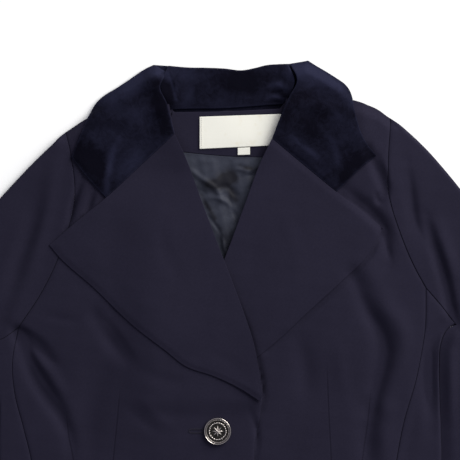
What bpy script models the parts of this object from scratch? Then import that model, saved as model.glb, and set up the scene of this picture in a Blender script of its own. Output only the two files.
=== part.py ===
"""A uniform jacket with a velvet collar, laid flat on its back, cut and sewn piece by piece.

The tables are in millimetres, the meshes in metres. Seen from above, x runs to the right from the
line of the back neck, y runs towards the collar from the back neck seam, and z up from the surface.
Right and left are the wearer's, so the right front, which laps on top, lies at negative x.
"""
import math
from collections import namedtuple

import bmesh
import bpy
import numpy as np

MM = 0.001

# Cloth thicknesses and the gaps between pieces
WOOL = 1.8
LAPEL = 2.2
VELVET = 2.4
FACING = 1.2
SATIN = 1.0
RIBBON = 1.0
SEAM_INSET = 0.35
BACK_INSET = 1.2
LAYER_GAP = 0.6
TURNED_GAP = 1.2

# Heights of the cloth's outer face above the surface
LAID_HEIGHT = 8.0
FOLDED_EDGE = 4.2
NECK_RISE = 2.9
LAP_RISE = 2.8
LAPEL_RISE = 3.0
SHOULDER_ROUND = 16.0
ROLL_HEIGHT = 7.0
ROLL_WIDTH = 17.0

# Places where the cloth bends: over the back fall, along the lap and at the shoulders
FLOOR_EDGE = 6
FLOOR_FADE = 45
FLOOR_HALF_WIDTH = 146
FLOOR_SIDE_FADE = 18
LAP_START = 120
LAP_FADE = 55
LAP_TOP = 60
LAP_TOP_FADE = 80
LAPEL_END = 326
LAPEL_END_FADE = 22
EDGE_LEVEL = 0.12
MIDDLE_X = 6
SLEEVE_X = 200
SHOULDER_LIFT = 2.2
SHOULDER_BEND = 14
SHOULDER_END = 60
OUTSIDE_RISE = 4.4
OUTSIDE_FADE = 10
ROLL_FALL = 0.85
ROLL_FADE = 3

# Lapel and collar: where the lap covers the left lapel, where a fall drops behind the shoulder
COVER_TOP = 125
COVER_TOP_FADE = 30
COVER_SIDE = 60
COVER_SIDE_FADE = 40
DROP_TOP_RIGHT = -12
DROP_MARGIN = 2
DROP_WIDTH = 13
DROP_FADE = 6
FALL_TOP_RIGHT = -11
FALL_TOP_LEFT = 6
STAND_LIFT = 1.6
STAND_END_LIFT = 2.4
STAND_MIDDLE = 9
STAND_FLAT = 44
STAND_FADE = 16
LINING_LIFT = 1.8
SLEEVE_LEAN = 0.06

# Steps along and across the pieces
SMOOTH_ANGLE = 40
BACK_STEPS = 14
FACING_STEPS = (8, 7)
LINING_STEPS = (10, 12)
LABEL_STEPS = (6, 6)
TAB_STEPS = (2, 2)
LAPEL_STEPS = (11, 15)
FALL_STEPS = (9, 11)
STAND_STEPS = (12, 6)
BACK_FALL_STEPS = (20, 4)
ARC_STEPS = 4
HOLE_STEPS = 15
HEAD_STEPS = 8
UNDERARM_STEPS = 3
PANEL_STEPS = 17
ARM_STEPS = 15
FRONT_STEPS = 10

# Buttons
BUTTON_RADIUS = 14.3
BUTTON_HEIGHT = 4.6
BUTTON_SIDES = 20
BUTTON_CROWN = 0.96
BUTTON_PROFILE = (
    # radius, height, both as a share
    (0.42, 0.0),
    (0.92, 0.18),
    (1.0, 0.48),
    (0.97, 0.76),
    (0.88, 1.0),
    (0.78, 0.94),
    (0.72, 0.79),
    (0.35, 0.91),
)
BUTTON_CENTRES = ((-5, -339), (-8, -434), (-11, -528))

# Outlines: each row is x, y
SHOULDER_RIGHT = ((-165, -25), (-141, -10), (-101, 2), (-57, 10))
ARMHOLE_RIGHT = ((-165, -25), (-160, -44), (-156, -70), (-155, -88), (-157, -106), (-163, -129),
                 (-173, -158), (-191, -195), (-215, -231))
UNDERARM_RIGHT = ((-215, -231), (-233, -243), (-252, -247))
SIDE_RIGHT = ((-252, -247), (-243, -273), (-237, -307), (-236.5, -354), (-235, -396), (-230, -433),
              (-238, -490), (-251, -553), (-258, -627))
PANEL_RIGHT = ((-215, -231), (-221, -270), (-218, -302), (-210, -333), (-201, -370), (-195, -417),
               (-203, -485), (-213, -559), (-221, -629))
NECK_RIGHT = ((-57, 10), (-50, -27))
ROLL_RIGHT = ((-50, -27), (-41, -46), (-20, -102), (2, -160), (18, -202), (33, -247), (42, -302))
EDGE_RIGHT = ((42, -302), (40, -321), (34, -349), (33, -373), (28, -478), (23, -580))
CORNER_RIGHT = ((23, -580), (20, -608), (9, -625), (-8, -631))
SLEEVE_OUTER_RIGHT = ((-165, -25), (-187, -46), (-233, -93), (-260, -123), (-300, -177), (-336, -239),
                      (-377, -323), (-413, -418), (-443, -512), (-458, -570))
SLEEVE_CONTACT_RIGHT = ((-254, -248), (-247, -273), (-241, -307), (-240.3, -345))
SLEEVE_INNER_RIGHT = ((-240.3, -345), (-240, -392), (-250, -422), (-277, -464), (-305, -521), (-335, -606))

SHOULDER_LEFT = ((69, 16), (104, 11), (138, 8.6), (147, 6), (153.5, 3.3), (160, 0.8), (166, -2.6),
                 (172, -7.2), (177, -10.5))
ARMHOLE_LEFT = ((177, -10.5), (174, -57), (175, -92), (183, -119), (202, -167), (214, -189))
UNDERARM_LEFT = ((214, -189), (233, -211), (246, -228))
SIDE_LEFT = ((246, -228), (238.5, -232), (233, -240), (230, -250), (228.6, -270), (229, -298), (230, -338),
             (229.5, -380), (222, -417), (229, -475), (242, -538), (248, -611))
PANEL_LEFT = ((214, -189), (213, -233), (209, -260), (205, -280), (190, -333), (183, -370), (178, -408),
              (187, -475), (197, -538), (204, -613))
NECK_LEFT = ((69, 16), (62, -6), (52, -32))
ROLL_LEFT = ((52, -32), (42, -52), (22, -105), (2, -158), (-17, -202), (-36, -254), (-48, -304))
EDGE_LEFT = ((-48, -304), (-49, -319), (-43, -349), (-44, -373), (-49, -478), (-54, -580), (-57, -624))
SLEEVE_OUTER_LEFT = ((177, -10.5), (185, -16.7), (191, -21.5), (197.5, -27.2), (250, -83), (292, -139),
                     (329, -202), (371, -286), (407, -380), (439, -475), (455, -532))
SLEEVE_CONTACT_LEFT = ((249, -230), (241.5, -234.5), (236.5, -242), (233.6, -252), (232.2, -271),
                       (232.6, -298), (233.5, -345))
SLEEVE_INNER_LEFT = ((233.5, -345), (233.6, -382), (242, -410), (269, -447), (300, -502), (332, -568))

LAPEL_TOP_RIGHT = ((-50, -27), (-65, -41), (-86, -60.4), (-107, -80.3), (-122.3, -94), (-152, -118),
                   (-182, -144))
LAPEL_LOW_RIGHT = ((-182, -144), (-173, -155), (-136, -188), (-94, -228), (-59, -255), (-40, -270),
                   (-7, -282), (18, -294), (40, -308))
LAPEL_TOP_LEFT = ((52, -32), (87, -61), (120, -88), (145, -107), (169, -126))
LAPEL_LOW_LEFT = ((169, -126), (153, -154), (124, -183), (89, -215), (66, -237), (36, -262), (-7, -288),
                  (-46, -308))

COLLAR_ROLL_RIGHT = ((-58, 38), (-65, 22), (-58, 5), (-54, -10), (-50, -27))
ROLL_LINE_RIGHT = COLLAR_ROLL_RIGHT[1:] + ROLL_RIGHT[1:]
COLLAR_OUTER_RIGHT = ((-72, 46), (-80, 42.3), (-98.7, 30), (-111.3, 21.7), (-124, 14), (-130.2, 8.9),
                      (-136.5, 0.3), (-139.2, -5.3), (-149.5, -30), (-158.6, -51.5))
COLLAR_FRONT_RIGHT = ((-158.6, -51.5), (-142.8, -71.9), (-122.3, -94))
COLLAR_ROLL_LEFT = ((71.5, 46), (78, 29), (70, 12), (62, -6), (52, -32))
ROLL_LINE_LEFT = COLLAR_ROLL_LEFT[1:] + ROLL_LEFT[1:]
COLLAR_OUTER_LEFT = ((90, 50.5), (97, 46), (109, 39), (122, 30.8), (128, 26.6), (133, 21), (136, 14.5),
                     (137, 8.4), (138.6, -2), (142, -15), (146, -27), (152, -38), (162, -50))
COLLAR_FRONT_LEFT = ((162, -50), (146, -62.5), (134, -74), (120, -88))
STAND_SIDE_RIGHT = (-54, 13)
STAND_SIDE_LEFT = (66, 24)
STAND_TOP = ((-55, 45), (-36, 43.2), (-17, 42.9), (3, 42), (20, 40.2), (34, 42.6), (46, 45.6), (59, 46.7),
             (67.5, 47))
STAND_SEAM = ((-51.5, -1), (4, 0), (60, 4))
BACK_FALL_LOW = ((-130, -14), (-76, -22), (0, -23), (71, -17), (130, 2))
NECKLINE = ((-57, 10), (-51, -3), (4, -2), (62, 2), (69, 16))
HEM_RIGHT = ((-221, -629), (-110, -632), (-8, -631))
HEM_LEFT = ((-57, -624), (70, -622), (204, -613))
HEM_BACK_MIDDLE = ((-100, -630), (60, -626))
FACING_TOP = ((-53, -4), (4, -3), (64, 0))
FACING_LOW = ((-62, -44), (0, -50), (66, -52))
LINING_LOW = ((-20, -172), (24, -172))
LABEL = ((-24, -9), (62, -6), (61, -40), (-24, -43))
SIZE_TAB = ((16, -43.4), (29, -43), (29, -51), (16, -51.4))

# Folds: height of the ridge, or depth of the trough where it is negative, half width, strength at the
# first place and at the last, and the places that the fold runs through
Fold = namedtuple("Fold", "height width first last places")
FOLDS = (
    Fold(-5.0, 9, 0.3, 0.3, ((144, -174), (151, -190), (159, -205), (172, -227), (182, -240), (182, -254),
         (174, -274), (166, -292), (161, -309))),
    Fold(3.5, 9, 0.2, 0.1, ((158, -170), (170, -200), (187, -228), (192, -246), (189, -262), (181, -286),
         (174, -307))),
    Fold(2.0, 9, 0.1, 0.1, ((129, -186), (145, -207), (161, -233), (168, -254), (160, -275))),
    Fold(-2.6, 10, 0.0, 0.1, ((84, -241), (89, -259), (91, -286), (90, -311))),
    Fold(-3.0, 8, 0.6, 0.3, ((164, -307), (163, -338), (162, -380))),
    Fold(-5.0, 6.5, 1.0, 0.1, ((-216, -232), (-207, -235), (-196, -245), (-185, -255), (-175, -261))),
    Fold(-5.0, 6.5, 0.8, 0.2, ((-212, -236), (-202, -256), (-190, -278), (-176, -302), (-163, -321),
         (-156, -338), (-155, -370))),
    Fold(3.0, 7, 0.5, 0.1, ((-202, -245), (-186, -266), (-172, -291), (-162, -311))),
    Fold(-4.5, 7, 0.5, 0.1, ((-127, -216), (-114, -230), (-100, -254), (-87, -271))),
    Fold(-3.0, 9, 0.1, 0.2, ((-127, -254), (-133, -272), (-141, -289), (-144, -310), (-136, -333))),
    Fold(-3.0, 9, 0.1, 0.1, ((-190, -86), (-198, -120), (-209, -150), (-218, -184), (-225, -207))),
    Fold(2.5, 9, 0.3, 0.6, ((-169, -34), (-178, -74), (-185, -106), (-195, -144), (-210, -191),
         (-220, -220))),
    Fold(-5.5, 7, 0.2, 1.0, ((214, -105), (222, -128), (231, -158), (238, -185), (243, -205), (245, -220))),
    Fold(3.0, 8, 0.1, 0.6, ((227, -112), (235, -144), (246, -175), (250, -202))),
    Fold(-2.8, 8, 0.1, 0.2, ((150, -103), (165, -120), (171, -131), (173, -150), (177, -163))),
    Fold(-6.0, 8, 0.5, 0.2, ((239, -230), (233, -239), (229, -254), (228, -277), (229, -298), (230, -338))),
    Fold(-3.0, 12, 0.3, 0.0, ((-262, -262), (-290, -290), (-330, -322))),
    Fold(3.5, 14, 0.2, 0.0, ((-262, -300), (-300, -335), (-352, -352))),
    Fold(-3.0, 12, 0.0, 0.0, ((-404, -350), (-370, -372), (-318, -376))),
    Fold(-3.0, 12, 0.3, 0.0, ((256, -250), (284, -272), (322, -296))),
    Fold(3.5, 14, 0.2, 0.0, ((252, -292), (290, -318), (344, -330))),
    Fold(-3.0, 12, 0.0, 0.0, ((398, -318), (362, -342), (312, -350))),
    Fold(-2.5, 13, 0.2, 0.0, ((-196, -424), (-165, -410), (-120, -404))),
    Fold(-2.5, 13, 0.2, 0.0, ((180, -414), (150, -398), (102, -396))),
)

# Soft rises: height, radius and centre
Rise = namedtuple("Rise", "height radius x y")
RISES = (
    Rise(4.5, 48, -150, -66),
    Rise(4.5, 48, 158, -60),
    Rise(3.0, 78, -112, -205),
    Rise(3.0, 78, 110, -200),
    Rise(2.0, 60, -345, -400),
    Rise(2.0, 60, 340, -380),
)

WOOL_NAVY = ("navy_wool", (0.021, 0.019, 0.032), 0.85, 0.0)
VELVET_NAVY = ("navy_velvet", (0.006, 0.008, 0.018), 0.95, 0.0)
SATIN_BLUE = ("blue_grey_satin", (0.035, 0.050, 0.068), 0.35, 0.0)
RIBBON_IVORY = ("ivory_ribbon", (0.82, 0.80, 0.74), 0.70, 0.0)
SILVER = ("antique_silver", (0.42, 0.41, 0.39), 0.38, 1.0)


def clear_scene():
    """Remove the objects of the scene that the file opened with."""
    for thing in list(bpy.data.objects):
        bpy.data.objects.remove(thing, do_unlink=True)


def rise(value):
    """Smooth step from 0 at 0 to 1 at 1."""
    part = np.clip(value, 0.0, 1.0)
    return part * part * (3.0 - 2.0 * part)


def lengths(path):
    """Length along a path at each of its places."""
    steps = np.linalg.norm(np.diff(path, axis=0), axis=1)
    return np.concatenate(([0.0], np.cumsum(steps)))


def smooth(places, per_span=10):
    """A fine path on a rounded curve through the places."""
    points = np.asarray(places, float)
    if len(points) < 3:
        return points
    knots = lengths(points)
    slopes = np.gradient(points, knots, axis=0)
    path = [points[0]]
    for index in range(len(points) - 1):
        span = knots[index + 1] - knots[index]
        for step in range(1, per_span + 1):
            t = step / per_span
            start = (2 * t**3 - 3 * t**2 + 1) * points[index] + (t**3 - 2 * t**2 + t) * span * slopes[index]
            end = (3 * t**2 - 2 * t**3) * points[index + 1] + (t**3 - t**2) * span * slopes[index + 1]
            path.append(start + end)
    return np.array(path)


def joined(*runs):
    """One path along several rounded runs, with a corner where they meet."""
    path = smooth(runs[0])
    for run in runs[1:]:
        path = np.vstack((path, smooth(run)[1:]))
    return path


def evenly(path, fractions):
    """Places on a path at these fractions of its length."""
    knots = lengths(path)
    at = np.asarray(fractions) * knots[-1]
    return np.column_stack([np.interp(at, knots, path[:, axis]) for axis in (0, 1)])


def stepped(path, steps):
    """Places at even steps along a path."""
    return evenly(np.asarray(path, float), np.linspace(0, 1, steps + 1))


def chain(*runs):
    """Runs of places joined where the next one starts at the last one's end."""
    return np.vstack([runs[0]] + [run[1:] for run in runs[1:]])


def coons(top, bottom, left, right):
    """Grid of places between four edges: top and bottom run left to right, left and right run down."""
    u = np.linspace(0, 1, len(top))[None, :, None]
    v = np.linspace(0, 1, len(left))[:, None, None]
    ruled = (1 - v) * top[None] + v * bottom[None] + (1 - u) * left[:, None] + u * right[:, None]
    corners = ((1 - u) * (1 - v) * top[0] + u * (1 - v) * top[-1]
               + (1 - u) * v * bottom[0] + u * v * bottom[-1])
    return ruled - corners


def drawn_in(grid, amount=SEAM_INSET):
    """Move a grid's border towards its neighbours, which leaves the gap at its seams."""
    moved = grid.copy()
    for edge, beside in ((0, 1), (-1, -2)):
        step = grid[beside] - grid[edge]
        moved[edge] += step / np.linalg.norm(step, axis=1, keepdims=True) * amount
    for edge, beside in ((0, 1), (-1, -2)):
        step = grid[:, beside] - grid[:, edge]
        moved[:, edge] += step / np.linalg.norm(step, axis=1, keepdims=True) * amount
    return moved


def reach(x, y, path):
    """Distance from each place to a path, and the fraction of the path where it is nearest."""
    path = np.asarray(path, float)
    knots = lengths(path)
    best = np.full(np.shape(x), np.inf)
    where = np.zeros(np.shape(x))
    for index in range(len(path) - 1):
        start, step = path[index], path[index + 1] - path[index]
        t = np.clip(((x - start[0]) * step[0] + (y - start[1]) * step[1]) / np.dot(step, step), 0, 1)
        far = np.hypot(x - start[0] - t * step[0], y - start[1] - t * step[1])
        nearer = far < best
        best = np.where(nearer, far, best)
        along = (knots[index] + t * (knots[index + 1] - knots[index])) / knots[-1]
        where = np.where(nearer, along, where)
    return best, where


def level_on(x, path):
    """The y of a path at x, for a path that runs steadily in x."""
    path = np.asarray(path, float)
    return np.interp(x, path[:, 0], path[:, 1])


def neck_floor(x, y):
    """Height that the collar's back fall lifts what lies on it."""
    below = level_on(x, smooth(BACK_FALL_LOW)) - y
    beside = np.abs(x) - FLOOR_HALF_WIDTH
    return NECK_RISE * rise(1 - (below - FLOOR_EDGE) / FLOOR_FADE) * rise(1 - beside / FLOOR_SIDE_FADE)


def shoulder_depth(x, y):
    """How far a place lies inside the shoulder line, below nothing where it lies outside."""
    right = level_on(x, smooth(SHOULDER_RIGHT)) - y
    left = level_on(x, smooth(SHOULDER_LEFT)) - y
    return np.where(x < MIDDLE_X, right, left)


def cloth_top(x, y):
    """Height of the outer face of the fronts, side panels and sleeves."""
    height = np.full(np.shape(x), LAID_HEIGHT)
    for bump in RISES:
        height = height + bump.height * np.exp(-((x - bump.x) ** 2 + (y - bump.y) ** 2) / bump.radius**2)
    for fold in FOLDS:
        far, along = reach(x, y, smooth(fold.places, 4))
        swell = np.sin(math.pi * along)
        strength = np.maximum(swell, np.where(along < 0.5, fold.first, fold.last))
        height = height + fold.height * strength * np.exp(-((far / fold.width) ** 2))
    height = np.maximum(height, 2 * WOOL + LAYER_GAP)
    inside = np.where(np.abs(x) < SLEEVE_X, shoulder_depth(x, y), SHOULDER_ROUND)
    height = FOLDED_EDGE + (height - FOLDED_EDGE) * rise(EDGE_LEVEL + inside / SHOULDER_ROUND)
    return height + neck_floor(x, y)


def lap(x, y):
    """Rise of the right front where it laps over the left front and the left lapel."""
    height = LAP_RISE + LAPEL_RISE * rise((y + LAPEL_END) / LAPEL_END_FADE)
    return height * rise((x + LAP_START) / LAP_FADE) * rise((-LAP_TOP - y) / LAP_TOP_FADE)


def turned_under(x, y, roll, lapped):
    """Underside of a lapel or a fall that lies turned back on the front."""
    body = cloth_top(x, y) + (lap(x, y) if lapped else 0.0)
    depth = shoulder_depth(x, y)
    outside = 2 * WOOL + OUTSIDE_RISE
    beyond = rise(-depth / OUTSIDE_FADE)
    near_shoulder = np.exp(-((depth / SHOULDER_BEND) ** 2)) * np.where(y > -SHOULDER_END, 1.0, 0.0)
    body = (body + SHOULDER_LIFT * near_shoulder) * (1 - beyond) + outside * beyond
    far, along = reach(x, y, smooth(roll))
    turned = ROLL_HEIGHT * (1 - ROLL_FALL * rise(along * ROLL_FADE)) * np.exp(-((far / ROLL_WIDTH) ** 2))
    return body + TURNED_GAP + turned


def raised(grid, heights):
    """A grid of places with a height each."""
    return np.dstack((grid, heights))


def finish_of(look):
    """The material of a finish, made once."""
    name, colour, roughness, metallic = look
    material = bpy.data.materials.get(name)
    if material is None:
        material = bpy.data.materials.new(name)
        material.use_nodes = True
        shader = material.node_tree.nodes["Principled BSDF"]
        shader.inputs["Base Color"].default_value = (*colour, 1.0)
        shader.inputs["Roughness"].default_value = roughness
        shader.inputs["Metallic"].default_value = metallic
        material.diffuse_color = (*colour, 1.0)
    return material


def mesh_object(name, points, faces, look):
    """An object of these points in millimetres, its faces turned outwards and shaded smooth."""
    mesh = bpy.data.meshes.new(name)
    mesh.from_pydata([tuple(float(value) * MM for value in point) for point in points], [], faces)
    body = bmesh.new()
    body.from_mesh(mesh)
    bmesh.ops.recalc_face_normals(body, faces=body.faces)
    bmesh.ops.triangulate(body, faces=body.faces)
    body.to_mesh(mesh)
    body.free()
    mesh.shade_smooth()
    mesh.set_sharp_from_angle(angle=math.radians(SMOOTH_ANGLE))
    mesh.materials.append(finish_of(look))
    thing = bpy.data.objects.new(name, mesh)
    bpy.context.collection.objects.link(thing)
    return thing


def shell(name, outer, inner, look):
    """A closed wall between an outer and an inner grid of points."""
    rows, columns = outer.shape[:2]
    count = rows * columns
    points = np.vstack((outer.reshape(-1, 3), inner.reshape(-1, 3)))
    faces = []
    for row in range(rows - 1):
        for column in range(columns - 1):
            corner = row * columns + column
            quad = (corner, corner + 1, corner + columns + 1, corner + columns)
            faces.append(quad)
            faces.append(tuple(count + index for index in reversed(quad)))
    border = [column for column in range(columns)]
    border += [row * columns + columns - 1 for row in range(1, rows)]
    border += [(rows - 1) * columns + column for column in range(columns - 2, -1, -1)]
    border += [row * columns for row in range(rows - 2, 0, -1)]
    for index, here in enumerate(border):
        there = border[(index + 1) % len(border)]
        faces.append((there, here, count + here, count + there))
    return mesh_object(name, points, faces, look)


def sheet(name, grid, under, thickness, look):
    """A wall of even thickness, upwards from its underside."""
    return shell(name, raised(grid, under + thickness), raised(grid, under), look)


def rolled(grid, top, end):
    """Outer and inner points of cloth whose first or last column rolls under to the floor."""
    edge, beside = (0, 1) if end == "first" else (-1, -2)
    grid = grid.copy()
    away = grid[:, edge] - grid[:, beside]
    away /= np.linalg.norm(away, axis=1, keepdims=True)
    radius = top[:, edge] / 2
    grid[:, edge] -= away * radius[:, None]
    outer = [raised(grid, top)[:, column] for column in range(grid.shape[1])]
    inner = [raised(grid, top - WOOL)[:, column] for column in range(grid.shape[1])]
    if end == "first":
        outer, inner = outer[::-1], inner[::-1]
    for step in range(1, ARC_STEPS + 1):
        turn = math.pi / 2 - math.pi * step / ARC_STEPS
        for columns, bend in ((outer, radius), (inner, radius - WOOL)):
            place = grid[:, edge] + away * (bend * math.cos(turn))[:, None]
            columns.append(np.column_stack((place, radius + bend * math.sin(turn))))
    tuck = grid[:, beside] + away * SEAM_INSET
    outer.append(np.column_stack((tuck, np.zeros(len(tuck)))))
    inner.append(np.column_stack((tuck, np.full(len(tuck), WOOL))))
    return np.stack(outer, axis=1), np.stack(inner, axis=1)


def armhole(side):
    """Places along a side's armhole: shoulder to side panel, then side panel to underarm."""
    hole, underarm = (ARMHOLE_RIGHT, UNDERARM_RIGHT) if side == "right" else (ARMHOLE_LEFT, UNDERARM_LEFT)
    return stepped(smooth(hole), HOLE_STEPS), stepped(smooth(underarm), UNDERARM_STEPS)


def make_fronts():
    """Right and left fronts, from the shoulder to the hem and from the armhole to the front edge."""
    rows = HOLE_STEPS + PANEL_STEPS
    hem = stepped(smooth(HEM_RIGHT), FRONT_STEPS)
    side = chain(armhole("right")[0], stepped(smooth(PANEL_RIGHT), PANEL_STEPS))
    front = stepped(joined(NECK_RIGHT, ROLL_RIGHT, EDGE_RIGHT, CORNER_RIGHT), rows)
    grid = drawn_in(coons(stepped(smooth(SHOULDER_RIGHT), FRONT_STEPS), hem, side, front))
    x, y = grid[..., 0], grid[..., 1]
    sheet("front_right", grid, cloth_top(x, y) + lap(x, y) - WOOL, WOOL, WOOL_NAVY)

    hem = stepped(smooth(HEM_LEFT), FRONT_STEPS)
    side = chain(armhole("left")[0], stepped(smooth(PANEL_LEFT), PANEL_STEPS))
    front = stepped(joined(NECK_LEFT, ROLL_LEFT, EDGE_LEFT), rows)
    grid = drawn_in(coons(stepped(smooth(SHOULDER_LEFT), FRONT_STEPS), hem, front, side))
    x, y = grid[..., 0], grid[..., 1]
    sheet("front_left", grid, cloth_top(x, y) - WOOL, WOOL, WOOL_NAVY)


def make_side_panel(side, seam, edge):
    """A side panel that rolls round the side and under to the back. Returns its under seam."""
    hem = stepped((seam[-1], edge[-1]), UNDERARM_STEPS)
    sides = stepped(smooth(seam), PANEL_STEPS), stepped(smooth(edge), PANEL_STEPS)
    grid = drawn_in(coons(armhole(side)[1], hem, *sides))
    top = cloth_top(grid[..., 0], grid[..., 1])
    outer, inner = rolled(grid, top, "last")
    shell("side_panel_" + side, outer, inner, WOOL_NAVY)
    return grid[:, -2]


def make_sleeve(side, contact, outer_edge, inner_edge):
    """A sleeve: an upper piece rolled under at its outer edge, and a flat under piece."""
    hole, underarm = armhole(side)
    head = hole[:HEAD_STEPS + 1]
    inner_path = joined(contact, inner_edge)
    inside = chain(hole[HEAD_STEPS:], underarm, stepped(inner_path, ARM_STEPS))
    share = np.linspace(0, 1, len(inside))
    outside = evenly(smooth(outer_edge), share + SLEEVE_LEAN * np.sin(math.pi * share))
    cuff = stepped((outer_edge[-1], inner_edge[-1]), HEAD_STEPS)
    grid = drawn_in(coons(head, cuff, outside, inside))
    top = cloth_top(grid[..., 0], grid[..., 1])
    far, _ = reach(grid[..., 0], grid[..., 1], inner_path)
    top = FOLDED_EDGE + (top - FOLDED_EDGE) * rise(EDGE_LEVEL + far / SHOULDER_ROUND)
    outer, inner = rolled(grid, top, "first")
    shell("sleeve_upper_" + side, outer, inner, WOOL_NAVY)
    beneath = drawn_in(grid[:, [1, 3, 5, HEAD_STEPS]])
    sheet("sleeve_under_" + side, beneath, np.zeros(beneath.shape[:2]), WOOL, WOOL_NAVY)


def make_back(under_right, under_left):
    """The back, flat on the surface and lifted a little over the collar's back fall."""
    top = stepped(joined(SHOULDER_RIGHT, NECKLINE, SHOULDER_LEFT), BACK_STEPS)
    hem = stepped(smooth((under_right[-1], *HEM_BACK_MIDDLE, under_left[-1])), BACK_STEPS)
    kept = list(range(0, HEAD_STEPS, 2)) + list(range(HEAD_STEPS, HOLE_STEPS + 1))
    sides = []
    for side, under in (("right", under_right), ("left", under_left)):
        hole, underarm = armhole(side)
        sides.append(np.vstack((hole[kept], underarm[1:2], under)))
    grid = drawn_in(coons(top, hem, *sides), BACK_INSET)
    sheet("back", grid, neck_floor(grid[..., 0], grid[..., 1]), WOOL, WOOL_NAVY)


def make_neck_facing():
    """The wool facing inside the back neck."""
    columns, rows = FACING_STEPS
    top, bottom = stepped(smooth(FACING_TOP), columns), stepped(smooth(FACING_LOW), columns)
    side_right = stepped((top[0], bottom[0]), rows)
    side_left = stepped((top[-1], bottom[-1]), rows)
    grid = drawn_in(coons(top, bottom, side_right, side_left))
    under = neck_floor(grid[..., 0], grid[..., 1]) + WOOL + LAYER_GAP
    sheet("neck_facing", grid, under, FACING, WOOL_NAVY)


def make_lining():
    """The satin of the back, as far as it shows between the lapels."""
    columns, rows = LINING_STEPS
    top, bottom = stepped(smooth(FACING_LOW), columns), stepped(LINING_LOW, columns)
    sides = stepped((top[0], bottom[0]), rows), stepped((top[-1], bottom[-1]), rows)
    grid = drawn_in(coons(top, bottom, *sides))
    x, y = grid[..., 0], grid[..., 1]
    across = np.linspace(0, 1, columns + 1)[None, :]
    down = np.linspace(0, 1, rows + 1)[:, None]
    middle = np.sin(math.pi * across) ** 2 * np.sin(math.pi * down)
    ripple = 1.0 + np.sin(0.11 * x + 0.09 * y) * np.cos(0.07 * x - 0.05 * y)
    under = neck_floor(x, y) + WOOL + LAYER_GAP + LINING_LIFT * middle * ripple
    sheet("back_lining", grid, under, SATIN, SATIN_BLUE)


def make_label():
    """The bare woven label and the size tab below it, on the neck facing."""
    for name, corners, steps in (("label", LABEL, LABEL_STEPS), ("size_tab", SIZE_TAB, TAB_STEPS)):
        columns, rows = steps
        grid = coons(stepped(corners[:2], columns), stepped((corners[3], corners[2]), columns),
                     stepped((corners[0], corners[3]), rows), stepped(corners[1:3], rows))
        under = neck_floor(grid[..., 0], grid[..., 1]) + WOOL + FACING + 2 * LAYER_GAP
        sheet(name, grid, under, RIBBON, RIBBON_IVORY)


def make_lapels():
    """The lapels, turned back on the fronts from their roll lines."""
    across, down = LAPEL_STEPS
    top = stepped(smooth(LAPEL_TOP_RIGHT[::-1]), across)
    bottom = stepped((LAPEL_LOW_RIGHT[-1], ROLL_RIGHT[-1]), across)
    sides = stepped(smooth(LAPEL_LOW_RIGHT), down), stepped(smooth(ROLL_RIGHT), down)
    grid = drawn_in(coons(top, bottom, *sides))
    under = turned_under(grid[..., 0], grid[..., 1], ROLL_LINE_RIGHT, True)
    sheet("lapel_right", grid, under, LAPEL, WOOL_NAVY)

    top = stepped(smooth(LAPEL_TOP_LEFT), across)
    bottom = stepped((ROLL_LEFT[-1], LAPEL_LOW_LEFT[-1]), across)
    sides = stepped(smooth(ROLL_LEFT), down), stepped(smooth(LAPEL_LOW_LEFT), down)
    grid = drawn_in(coons(top, bottom, *sides))
    x, y = grid[..., 0], grid[..., 1]
    covered = rise((-COVER_TOP - y) / COVER_TOP_FADE) * rise((COVER_SIDE - x) / COVER_SIDE_FADE)
    under = turned_under(x, y, ROLL_LINE_LEFT, False)
    close = cloth_top(x, y) + LAYER_GAP
    sheet("lapel_left", grid, under * (1 - covered) + close * covered, LAPEL, WOOL_NAVY)


def make_fall(side, roll, outer, front, gorge, roll_line):
    """A front fall of the collar, down to the outline where it wraps behind the shoulder."""
    across, down = FALL_STEPS
    edges = stepped((outer[0], roll[0]), across), stepped(joined(front, gorge), across)
    sides = stepped(smooth(outer), down), stepped(smooth(roll), down)
    if side == "left":
        edges = edges[0][::-1], edges[1][::-1]
        sides = sides[::-1]
    grid = drawn_in(coons(*edges, *sides))
    x, y = grid[..., 0], grid[..., 1]
    under = turned_under(x, y, roll_line, side == "right")
    far, _ = reach(x, y, smooth([place for place in outer if place[1] > DROP_TOP_RIGHT]))
    top_far, _ = reach(x, y, (outer[0], roll[0]))
    near = 1 - rise(np.minimum(far, top_far + DROP_MARGIN) / DROP_WIDTH)
    low = near * rise(-shoulder_depth(x, y) / DROP_FADE)
    sheet("collar_fall_" + side, grid, under * (1 - low) + (VELVET + LAYER_GAP) * low, VELVET, VELVET_NAVY)


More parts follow.
